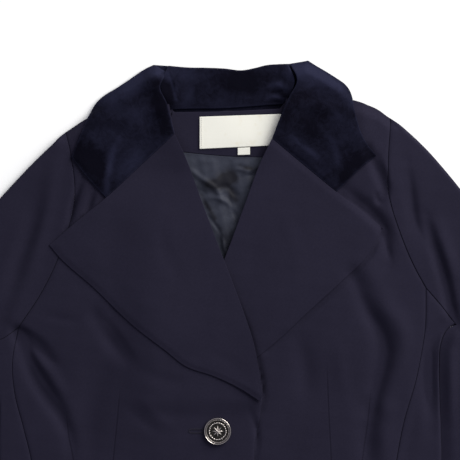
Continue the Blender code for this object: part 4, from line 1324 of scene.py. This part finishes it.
@dataclass
class SidePanel:
    """A side panel, which rolls round the side and under to the back."""

    cut: Cut
    step: float = 2.8

    def build(self, room: Workroom, relief: Relief) -> bpy.types.Object:
        """Make the side panel."""
        cut = self.cut
        patch = Patch(Edge.through(cut.underarm), Edge.through((cut.panel[-1], cut.side_edge[-1])),
                      Edge.through(cut.panel), Edge.through(cut.side_edge))
        rolled = Rolled(patch, spread(44, self.step, (True, False)), spread(390, self.step), False, 1 / 3, "tr")
        name = "side_panel_" + cut.side.value
        return room.sew(name, rolled.shell(relief, None), room.wool, "navy_wool", name)


@dataclass
class Sleeve:
    """A sleeve: an upper piece rolled under at its outer edge, and a flat under piece."""

    cut: Cut
    step: float = 2.8
    columns: int = 8
    clearance: float = -0.7
    tucked: float = -1.2
    tuck_reach: float = 8.0
    tuck_depth: float = 2.6

    def contact(self, clearance: float) -> np.ndarray:
        """The part of the inner edge that lies close against the side panel, or a little under it."""
        edge = smooth(self.cut.side_edge)
        away = np.gradient(edge, axis=0)[:, ::-1] * (1, -1)
        away /= np.linalg.norm(away, axis=1, keepdims=True)
        away *= np.sign(edge[:, :1]) * np.sign(away[:, :1])
        path = edge + away * clearance
        return np.vstack((path[path[:, 1] > self.cut.sleeve_inner[0][1] + 12], self.cut.sleeve_inner[:1]))

    def patch(self, clearance: float) -> tuple[Patch, np.ndarray]:
        """A piece's pattern with this clearance from the side panel, and the path of its inner edge."""
        cut = self.cut
        hole = smooth(cut.armhole)
        split = HEAD_SHARE
        head = evenly(hole, np.linspace(0, split, 60))
        rest = evenly(hole, np.linspace(split, 1, 60))
        inner = smooth(cut.sleeve_inner)
        inner_path = np.vstack((self.contact(clearance), inner[1:]))
        inside = Edge.through(rest, cut.underarm, inner_path, shares=(7, 3, 15))
        outside = Edge.through(cut.sleeve_outer).bent(0.06)
        cuff = Edge.through((cut.sleeve_outer[-1], cut.sleeve_inner[-1]))
        return Patch(Edge.through(head), cuff, outside, inside), inner_path

    def tucked_under(self, grid: np.ndarray) -> np.ndarray:
        """The under piece's grid, drawn a little under the body beside the underarm."""
        far, _ = reach(grid[..., 0], grid[..., 1], smooth(self.cut.underarm))
        near = np.exp(-((far / self.tuck_reach) ** 2)) * self.tuck_depth
        inwards = np.array((-np.sign(self.cut.underarm[0][0]), -1.0)) * math.sqrt(0.5)
        return grid + near[..., None] * inwards

    def build(self, room: Workroom, relief: Relief) -> list[bpy.types.Object]:
        """Make both pieces."""
        side = self.cut.side.value
        patch, inner_path = self.patch(self.clearance)
        grain = 28.0 if self.cut.side is Side.LEFT else -28.0
        down = spread(640, self.step)
        rolled = Rolled(patch, spread(130, self.step, (False, True)), down, True, 1 / self.columns, "t")
        upper = room.sew("sleeve_upper_" + side, rolled.shell(relief, inner_path), room.wool, "navy_wool",
                         "sleeve_upper_" + side, grain)
        across = 1 / self.columns + spread(110, 6.0) * (1 - 1 / self.columns)
        beneath, _ = self.patch(self.tucked)
        grid = self.tucked_under(drawn_in(beneath.grid(across, spread(640, 3.0))))
        under = room.sew("sleeve_under_" + side, sheet_of(grid, np.zeros(grid.shape[:2]), WOOL), room.wool,
                         "navy_wool", "sleeve_under_" + side, grain)
        return [upper, under]


@dataclass
class Back:
    """The back, flat on the surface and lifted a little over the collar's back fall."""

    step: float = 4.0

    def build(self, room: Workroom, relief: Relief) -> bpy.types.Object:
        """Make the back."""
        sides = []
        for cut in (RIGHT, LEFT):
            panel, edge = smooth(cut.panel), smooth(cut.side_edge)
            share = np.linspace(0, 1, 80)
            under = evenly(panel, share) / 3 + evenly(edge, share) * 2 / 3
            underarm = evenly(smooth(cut.underarm), np.linspace(0, 2 / 3, 12))
            sides.append(Edge.through(cut.armhole, np.vstack((underarm[:-1], under)), shares=(15, 18)))
        ends = [edge.places[-1] for edge in sides]
        hem = Edge.through((tuple(ends[0]), (-100, -630), (60, -626), tuple(ends[1])))
        top = Edge.through(RIGHT.shoulder, NECKLINE, LEFT.shoulder)
        grid = drawn_in(Patch(top, hem, *sides).grid(spread(440, self.step), spread(640, self.step)), 0.4)
        floor = relief.neck_floor(grid[..., 0], grid[..., 1])
        return room.sew("back", sheet_of(grid, floor, WOOL), room.wool, "navy_wool", "back")


@dataclass
class NeckInside:
    """What shows inside the neck: the wool facing, the satin lining, the bare label and the size tab."""

    # Painted shade along the lining's creases: each fold's height is how much darker the satin is painted there
    lining_shade: tuple[Fold, ...] = (
        Fold(1.0, 7.0, 0.6, 0.7, ((-5, -80), (2, -74), (8, -69))),
        Fold(0.9, 5.0, 0.7, 0.1, ((2, -74), (10, -74), (19, -73))),
        Fold(0.9, 5.0, 0.7, 0.1, ((0, -78), (-12, -80), (-23, -81))),
        Fold(0.9, 5.0, 0.7, 0.2, ((4, -78), (11, -92), (17, -102))),
        Fold(0.8, 2.6, 0.4, 0.6, ((19, -60), (27, -63), (36, -64))),
        Fold(0.8, 2.2, 0.4, 0.8, ((-22, -92), (-15, -104), (-8, -116))),
        Fold(0.6, 3.0, 0.8, 0.2, ((-60, -46), (-44, -62), (-34, -76))),
        Fold(0.5, 9.0, 0.2, 0.9, ((-2, -120), (6, -140), (10, -160))),
    )

    def build(self, room: Workroom, relief: Relief) -> list[bpy.types.Object]:
        """Make the pieces."""
        return [self.facing(room, relief), self.lining(room, relief), *self.labels(room, relief)]

    def facing(self, room: Workroom, relief: Relief) -> bpy.types.Object:
        """The wool facing inside the back neck."""
        patch = Patch(Edge.through(FACING_TOP), Edge.through(FACING_LOW),
                      Edge.through((FACING_TOP[0], FACING_LOW[0])), Edge.through((FACING_TOP[-1], FACING_LOW[-1])))
        grid = drawn_in(patch.grid(spread(120, 2.4), spread(46, 2.0)))
        x, y = grid[..., 0], grid[..., 1]
        soft = 0.35 * np.sin(0.09 * x + 0.5) * np.sin(0.11 * y + 0.05 * x)
        under = relief.neck_floor(x, y) + WOOL + LAYER_GAP + soft
        return room.sew("neck_facing", sheet_of(grid, under, FACING), room.wool, "navy_wool", "neck_facing")

    def lining(self, room: Workroom, relief: Relief) -> bpy.types.Object:
        """The satin of the back, as far as it shows between the lapels."""
        patch = Patch(Edge.through(FACING_LOW), Edge.through(LINING_LOW),
                      Edge.through((FACING_LOW[0], LINING_LOW[0])), Edge.through((FACING_LOW[-1], LINING_LOW[-1])))
        grid = drawn_in(patch.grid(spread(126, 1.2), spread(124, 1.2)))
        x, y = grid[..., 0], grid[..., 1]
        free = rise(rim_distance(grid, "tlr") / 9)
        ripple = 1.0 + np.sin(0.11 * x + 0.09 * y) * np.cos(0.07 * x - 0.05 * y)
        fine = 0.3 * np.sin(0.35 * x - 0.22 * y) * np.sin(0.21 * x + 0.31 * y + 1)
        height = np.clip(1.2 * ripple + relief.folded(x, y, LINING_CREASES) + fine + 0.4, 0, 4.6)
        under = relief.neck_floor(x, y) + WOOL + LAYER_GAP + free * height
        shell = sheet_of(grid, under, SATIN)
        # The painted crease shade, read by the satin's material
        shell.marks["shade"] = np.clip(relief.folded(x, y, self.lining_shade), 0, 1)
        return room.sew("back_lining", shell, room.satin, "blue_grey_satin", "back_lining")

    def labels(self, room: Workroom, relief: Relief) -> list[bpy.types.Object]:
        """The bare woven label, held by a row of stitches at each end, and the size tab."""
        made = []
        for name, corners in (("label", LABEL), ("size_tab", SIZE_TAB)):
            patch = Patch(Edge.through(corners[:2]), Edge.through((corners[3], corners[2])),
                          Edge.through((corners[0], corners[3])), Edge.through(corners[1:3]))
            width, height = corners[1][0] - corners[0][0], corners[0][1] - corners[3][1]
            grid = patch.grid(spread(width, 1.6), spread(height, 1.2))
            x, y = grid[..., 0], grid[..., 1]
            buckle = 0.35 * np.sin(0.075 * x + 0.4) * np.sin(math.pi * (y - y.min()) / np.ptp(y))
            under = relief.neck_floor(x, y) + WOOL + FACING + 2 * LAYER_GAP + (buckle if name == "label" else 0.0)
            made.append(room.sew(name, sheet_of(grid, under, RIBBON), room.ribbon, "ivory_ribbon", name))
        stitcher = Stitcher(room)
        for name, inset in (("label_stitches_right", 2.2), ("label_stitches_left", 83.5)):
            x = np.full(24, LABEL[0][0] + inset)
            y = np.linspace(LABEL[3][1] + 1.5, LABEL[0][1] - 1.5, 24)
            z = relief.neck_floor(x, y) + WOOL + FACING + 2 * LAYER_GAP + RIBBON + 0.05
            made.append(stitcher.lay(name, np.column_stack((x, y, z)), False, 2.1, (1.5, 0.45, 0.3), Lay.ALONG,
                                     room.ivory_thread, "ivory_ribbon"))
        return made


@dataclass
class Lapel:
    """A wide peaked lapel, turned back on the front from its roll line."""

    cut: Cut
    step: float = 2.0

    def grid(self) -> np.ndarray:
        """The places of the lapel."""
        cut = self.cut
        down = (Edge.through(cut.lapel_low), Edge.through(cut.roll))
        across = (Edge.through(cut.lapel_top), Edge.through((cut.roll[-1], cut.lapel_low[-1])))
        if cut.side is Side.RIGHT:
            across = (Edge.through(cut.lapel_top[::-1]), Edge.through((cut.lapel_low[-1], cut.roll[-1])))
        else:
            down = down[::-1]
        return drawn_in(Patch(*across, *down).grid(spread(150, self.step), spread(290, self.step)))

    def build(self, room: Workroom, relief: Relief) -> bpy.types.Object:
        """Make the lapel."""
        grid = self.grid()
        x, y = grid[..., 0], grid[..., 1]
        name = "lapel_" + self.cut.side.value
        lapped = self.cut.side is Side.RIGHT
        under = relief.turned_under(x, y, self.cut.roll_line, lapped)
        far, _ = reach(x, y, smooth(self.cut.lapel_low))
        covered = np.zeros(grid.shape[:2])
        if not lapped:
            covered = rise((-125 - y) / 30) * rise((60 - x) / 40)
            close = relief.cloth_top(x, y) + SEAM_INSET
            under = under * (1 - covered) + close * covered
        creased = np.maximum(relief.folded(x, y, LAPEL_CREASES), -TURNED_GAP / 2) * (1 - covered)
        pressed = 1 - rise(np.abs(far) / 30)
        drop = (TURNED_GAP - SEAM_INSET) * pressed * rise((y + 315) / 60) * (1 - covered)
        under = under + creased * (1 - pressed) - drop
        grain = 24.0 if lapped else -24.0
        wall = thinned(grid, LAPEL, "tl" if lapped else "tr")
        return room.sew(name, sheet_of(grid, under, wall, "tbl" if lapped else "tbr"), room.wool, "navy_wool", name,
                        grain)


@dataclass
class Collar:
    """The velvet collar: its stand behind the neck, its two front falls and its back fall below."""

    step: float = 1.8

    def build(self, room: Workroom, relief: Relief) -> list[bpy.types.Object]:
        """Make the four pieces."""
        return [self.fall(room, relief, RIGHT), self.fall(room, relief, LEFT), self.stand(room, relief),
                self.back_fall(room, relief)]

    def painted_pile_sheen(self, grid: np.ndarray, relief: Relief) -> np.ndarray:
        """The painted sheen at each place: how much lighter the pile is painted where it catches the light, more so
        along the piece's rim.
        """
        # Painted sheen along the rim, where the pile turns over the edge
        rim = PAINTED_RIM_SHEEN * np.exp(-((rim_distance(grid) / PAINTED_RIM_SHEEN_WIDTH) ** 2))
        return relief.folded(grid[..., 0], grid[..., 1], PAINTED_PILE_SHEEN) + rim

    def fall(self, room: Workroom, relief: Relief, cut: Cut) -> bpy.types.Object:
        """A front fall, down to the outline where it wraps behind the shoulder."""
        top = Edge.through((cut.collar_outer[0], cut.collar_roll[0]))
        gorge = cut.lapel_top[:cut.lapel_top.index(cut.collar_front[-1]) + 1]
        low = Edge.through(cut.collar_front, gorge[::-1])
        outer, roll = Edge.through(cut.collar_outer), Edge.through(cut.collar_roll)
        patch = Patch(top, low, outer, roll)
        if cut.side is Side.LEFT:
            top = Edge.through((cut.collar_roll[0], cut.collar_outer[0]))
            low = Edge.through(gorge, cut.collar_front[::-1])
            patch = Patch(top, low, roll, outer)
        grid = drawn_in(patch.grid(spread(96, self.step), spread(112, self.step)))
        x, y = grid[..., 0], grid[..., 1]
        under = relief.turned_under(x, y, cut.roll_line, cut.side is Side.RIGHT)
        far, _ = reach(x, y, smooth(tuple(place for place in cut.collar_outer if place[1] > -12)))
        top_far, _ = reach(x, y, np.array((cut.collar_outer[0], cut.collar_roll[0]), float))
        near = np.minimum(np.abs(far), np.abs(top_far) + 2)
        low_part = (1 - rise(near / 13)) * rise(-relief.shoulder_depth(x, y) / 6)
        under = under * (1 - low_part) + (VELVET + LAYER_GAP) * low_part
        crush = 0.45 * np.sin(0.13 * x + 0.07 * y) * np.sin(0.06 * x - 0.15 * y + 1.3)
        crush = crush * rise(rim_distance(grid) / 14)
        wall = thinned(grid, VELVET, "bl" if cut.side is Side.RIGHT else "br")
        shell = sheet_of(grid, under + crush, wall)
        shell.marks["painted_pile_sheen"] = self.painted_pile_sheen(grid, relief)
        name = "collar_fall_" + cut.side.value
        return room.sew(name, shell, room.velvet, "navy_velvet", name)

    def stand(self, room: Workroom, relief: Relief) -> bpy.types.Object:
        """The stand behind the neck, puckered beside the left fall."""
        left = Edge.through((STAND_TOP[0], (-65, 26), (-62, 9), STAND_SEAM[0]))
        right = Edge.through((STAND_TOP[-1], (76, 29), (70, 12), STAND_SEAM[-1]))
        patch = Patch(Edge.through(STAND_TOP), Edge.through(STAND_SEAM), left, right)
        across, down = spread(120, 1.3), spread(42, 1.1)
        grid = drawn_in(patch.grid(across, down))
        x, y = grid[..., 0], grid[..., 1]
        lift = np.sin(math.pi * down)[:, None]
        ends = rise((np.abs(x - 9) - 44) / 16)
        right_far, _ = reach(x, y, smooth(RIGHT.collar_roll))
        left_far, _ = reach(x, y, smooth(LEFT.collar_roll))
        beside = np.exp(-((np.minimum(np.abs(right_far), np.abs(left_far)) / 8) ** 2))
        under = VELVET + LAYER_GAP + lift * (1.6 + 2.4 * ends + 4.0 * beside)
        puckers = (
            Fold(1.5, 4.0, 0.3, 0.3, ((49, 22), (57, 25), (65, 22))),
            Fold(1.3, 3.2, 0.3, 0.3, ((46, 10), (56, 11), (63, 9))),
            Fold(-1.6, 1.8, 0.2, 0.7, ((47, 17), (56, 16), (66, 18))),
            Fold(-1.2, 2.2, 0.2, 0.8, ((52, 5), (59, 6), (66, 4))),
            Fold(1.4, 1.6, 0.6, 0.3, ((-54, 38), (-50, 26), (-48, 13))),
            Fold(0.8, 7.0, 0.0, 0.0, ((-30, 34), (-24, 18), (-26, 4))),
            Fold(0.7, 8.0, 0.0, 0.0, ((8, 34), (14, 18), (10, 3))),
        )
        under = under + relief.folded(x, y, puckers) * rise(rim_distance(grid) / 4)
        shell = sheet_of(grid, under, VELVET)
        shell.marks["painted_pile_sheen"] = self.painted_pile_sheen(grid, relief)
        return room.sew("collar_stand", shell, room.velvet, "navy_velvet", "collar_stand")

    def back_fall(self, room: Workroom, relief: Relief) -> bpy.types.Object:
        """The back fall, flat under the neck."""
        right = smooth(tuple(place for place in RIGHT.collar_outer if place[1] > -11))
        left = smooth(tuple(place for place in LEFT.collar_outer if place[1] > 6))
        top = np.vstack((right[::-1], smooth(STAND_TOP), left))
        patch = Patch(Edge.through(top), Edge.through(BACK_FALL_LOW),
                      Edge.through((tuple(top[0]), BACK_FALL_LOW[0])),
                      Edge.through((tuple(top[-1]), BACK_FALL_LOW[-1])))
        grid = drawn_in(patch.grid(spread(270, 2.4), spread(60, 2.4)))
        shell = sheet_of(grid, np.zeros(grid.shape[:2]), VELVET)
        shell.marks["painted_pile_sheen"] = self.painted_pile_sheen(grid, relief)
        return room.sew("collar_back_fall", shell, room.velvet, "navy_velvet", "collar_back_fall")


@dataclass
class Button:
    """A struck metal button: a polished double rim round a dark field with a star in a wreath."""

    index: int
    centre: Place
    radius: float = 14.3
    sides: int = 96
    star_rays: int = 8
    star_reach: float = 0.42
    profile: tuple[tuple[float, float], ...] = (
        # share of the radius, height in millimetres
        (0.00, 2.30), (0.20, 2.30), (0.40, 2.25), (0.60, 2.20), (0.70, 2.20), (0.78, 2.30), (0.805, 2.85),
        (0.825, 3.15), (0.845, 3.10), (0.86, 2.60), (0.885, 2.55), (0.905, 3.05), (0.925, 3.85), (0.95, 4.10),
        (0.97, 3.90), (0.99, 3.30), (1.00, 2.40), (0.99, 1.40), (0.96, 0.70), (0.90, 0.20), (0.80, 0.00),
    )

    def build(self, room: Workroom) -> list[bpy.types.Object]:
        """Make the button and its wreath."""
        low, _ = (Vector(corner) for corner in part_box("button_%d" % self.index))
        base = low.z / MM
        face = self.face(room, base)
        turn = np.linspace(0, 2 * math.pi, 49)[:-1]
        ring = 0.61 * self.radius
        path = np.column_stack((self.centre[0] + ring * np.cos(turn), self.centre[1] + ring * np.sin(turn),
                                np.full(48, base + 2.55)))
        wreath = Stitcher(room).lay("button_%d_wreath" % self.index, path, True, 2.6, (3.0, 1.5, 1.3), Lay.ALONG,
                                    room.silver, "antique_silver", 10)
        return [face, wreath]

    def face(self, room: Workroom, base: float) -> bpy.types.Object:
        """The turned button, with the star raised in its field."""
        shares = np.array([share for share, _ in self.profile])
        heights = np.array([height for _, height in self.profile])
        knots = np.linspace(0, 1, len(shares))
        fine = np.linspace(0, 1, 121)
        share, height = np.interp(fine, knots, shares), np.interp(fine, knots, heights)
        turn = np.linspace(0, 2 * math.pi, self.sides, endpoint=False)
        ray = np.abs(((turn * self.star_rays / (2 * math.pi) + 0.5) % 1) - 0.5) * 2
        reach_of_ray = self.star_reach * (1 - 0.72 * ray)
        star = np.clip(1 - share[:, None] / reach_of_ray[None, :], 0, 1) ** 0.7 * 1.5
        star = star * (fine < 0.3)[:, None]
        z = base + height[:, None] + star
        x = self.centre[0] + self.radius * share[:, None] * np.cos(turn)[None, :]
        y = self.centre[1] + self.radius * share[:, None] * np.sin(turn)[None, :]
        rings = np.stack((x, y, z), axis=2)[1:]
        top = np.array((self.centre[0], self.centre[1], base + heights[0] + 1.5))
        bottom = np.array((self.centre[0], self.centre[1], base))
        points = np.vstack((top[None], rings.reshape(-1, 3), bottom[None]))
        faces = []
        count = len(rings)
        for side in range(self.sides):
            after = (side + 1) % self.sides
            faces.append((0, 1 + side, 1 + after))
            for ring in range(count - 1):
                here, there = 1 + ring * self.sides, 1 + (ring + 1) * self.sides
                faces.append((here + side, there + side, there + after, here + after))
            last = 1 + (count - 1) * self.sides
            faces.append((last + side, len(points) - 1, last + after))
        name = "button_%d" % self.index
        thing = room.mesh_object(name + "_face", points, faces, room.silver, 60.0)
        field_depth = np.clip((2.95 - height[1:, None] - star[1:]) / 0.65, 0, 1) * (share[1:, None] < 0.91)
        recess = np.concatenate(([0.0], (field_depth + np.zeros((count, self.sides))).reshape(-1), [1.0]))
        column = thing.data.attributes.new(name="recess", type="FLOAT", domain="POINT")
        column.data.foreach_set("value", recess.astype(np.float32))
        room.enter(thing, "antique_silver", name)
        LOG.info("%s: %d faces", thing.name, len(thing.data.polygons))
        return thing


@dataclass
class Buttonhole:
    """The purled buttonhole beside each button."""

    index: int
    centre: Place
    radius: float = 1.9

    def build(self, room: Workroom, relief: Relief) -> bpy.types.Object:
        """Make the row of purl stitches round the slit."""
        start, end = self.centre[0] + BUTTONHOLE_START + 5, self.centre[0]
        half = np.linspace(-math.pi / 2, math.pi / 2, 9)
        x = np.concatenate((np.linspace(start, end, 20), end + self.radius * np.cos(half),
                            np.linspace(end, start, 20), start - self.radius * np.cos(half)))
        y = np.concatenate((np.full(20, -self.radius), self.radius * np.sin(half), np.full(20, self.radius),
                            -self.radius * np.sin(half))) + self.centre[1]
        z = relief.cloth_top(x, y) + relief.lap(x, y) + 0.1
        return Stitcher(room).lay("buttonhole_%d" % self.index, np.column_stack((x, y, z)), True, 0.75,
                                  (2.4, 0.7, 0.6), Lay.ACROSS, room.thread, "navy_wool", 6)


@dataclass
class Studio:
    """The floor, the lights and the camera, straight above the jacket as in the photograph."""

    centre: Place = (8.0, -128.0)
    view_width: float = 483.0
    height: float = 2.4
    sensor: float = 36.0
    floor_size: float = 8.0

    def build(self, room: Workroom) -> None:
        """Make the floor, the lights and the camera."""
        self.floor()
        self.light("key", (1.8, 1.75, 1.5), (0.0, 0.15, 0.0), 2.2, 124.0)
        world = bpy.data.worlds.new("studio")
        world.use_nodes = True
        world.node_tree.nodes["Background"].inputs["Color"].default_value = (0.94, 0.95, 1.08, 1.0)
        world.node_tree.nodes["Background"].inputs["Strength"].default_value = 0.42
        scene = bpy.context.scene
        scene.world = world
        scene.view_settings.view_transform = "Standard"
        self.camera(room)

    def floor(self) -> None:
        """The plain pale floor."""
        half = self.floor_size / 2
        mesh = bpy.data.meshes.new("floor")
        corners = [(-half, -half, 0), (half, -half, 0), (half, half, 0), (-half, half, 0)]
        mesh.from_pydata([(x, y, -0.0004) for x, y, _ in corners], [], [(0, 1, 2, 3)])
        mesh.materials.append(FloorFinish().material())
        thing = bpy.data.objects.new("floor", mesh)
        bpy.context.scene.collection.objects.link(thing)

    def light(self, name: str, place: tuple[float, float, float], aim: tuple[float, float, float],
              size: float, power: float) -> None:
        """A square soft light that looks at a place."""
        lamp = bpy.data.lights.new(name, "AREA")
        lamp.shape = "SQUARE"
        lamp.size = size
        lamp.energy = power
        lamp.color = (1.02, 1.01, 0.95)
        thing = bpy.data.objects.new(name, lamp)
        thing.location = place
        thing.rotation_euler = (Vector(aim) - Vector(place)).to_track_quat("-Z", "Y").to_euler()
        bpy.context.scene.collection.objects.link(thing)

    def camera(self, room: Workroom) -> None:
        """The camera, framed as the photograph is."""
        lens = bpy.data.cameras.new("camera")
        lens.sensor_width = self.sensor
        lens.lens = self.sensor * (self.height - 0.01) / (self.view_width * MM)
        thing = bpy.data.objects.new("camera", lens)
        place = room.in_frame((self.centre[0], self.centre[1], 0.0))
        thing.location = (place[0], place[1], self.height)
        bpy.context.scene.collection.objects.link(thing)
        bpy.context.scene.camera = thing


@dataclass
class Jacket:
    """The whole jacket, built from its sub-assemblies."""

    cuts: tuple[Cut, Cut] = (RIGHT, LEFT)

    def build(self, room: Workroom, relief: Relief) -> None:
        """Build and dress every piece."""
        Back().build(room, relief)
        for cut in self.cuts:
            Front(cut).build(room, relief)
            SidePanel(cut).build(room, relief)
            Sleeve(cut).build(room, relief)
            Lapel(cut).build(room, relief)
        NeckInside().build(room, relief)
        Collar().build(room, relief)
        for index, centre in enumerate(BUTTON_CENTRES, start=1):
            Button(index, centre).build(room)
            Buttonhole(index, centre).build(room, relief)


def main() -> None:
    """Build the jacket and the studio."""
    logging.basicConfig(level=logging.INFO, format="%(name)s %(message)s")
    room = Workroom()
    relief = Relief()
    Jacket().build(room, relief)
    Studio().build(room)


if __name__ == "__main__":
    main()
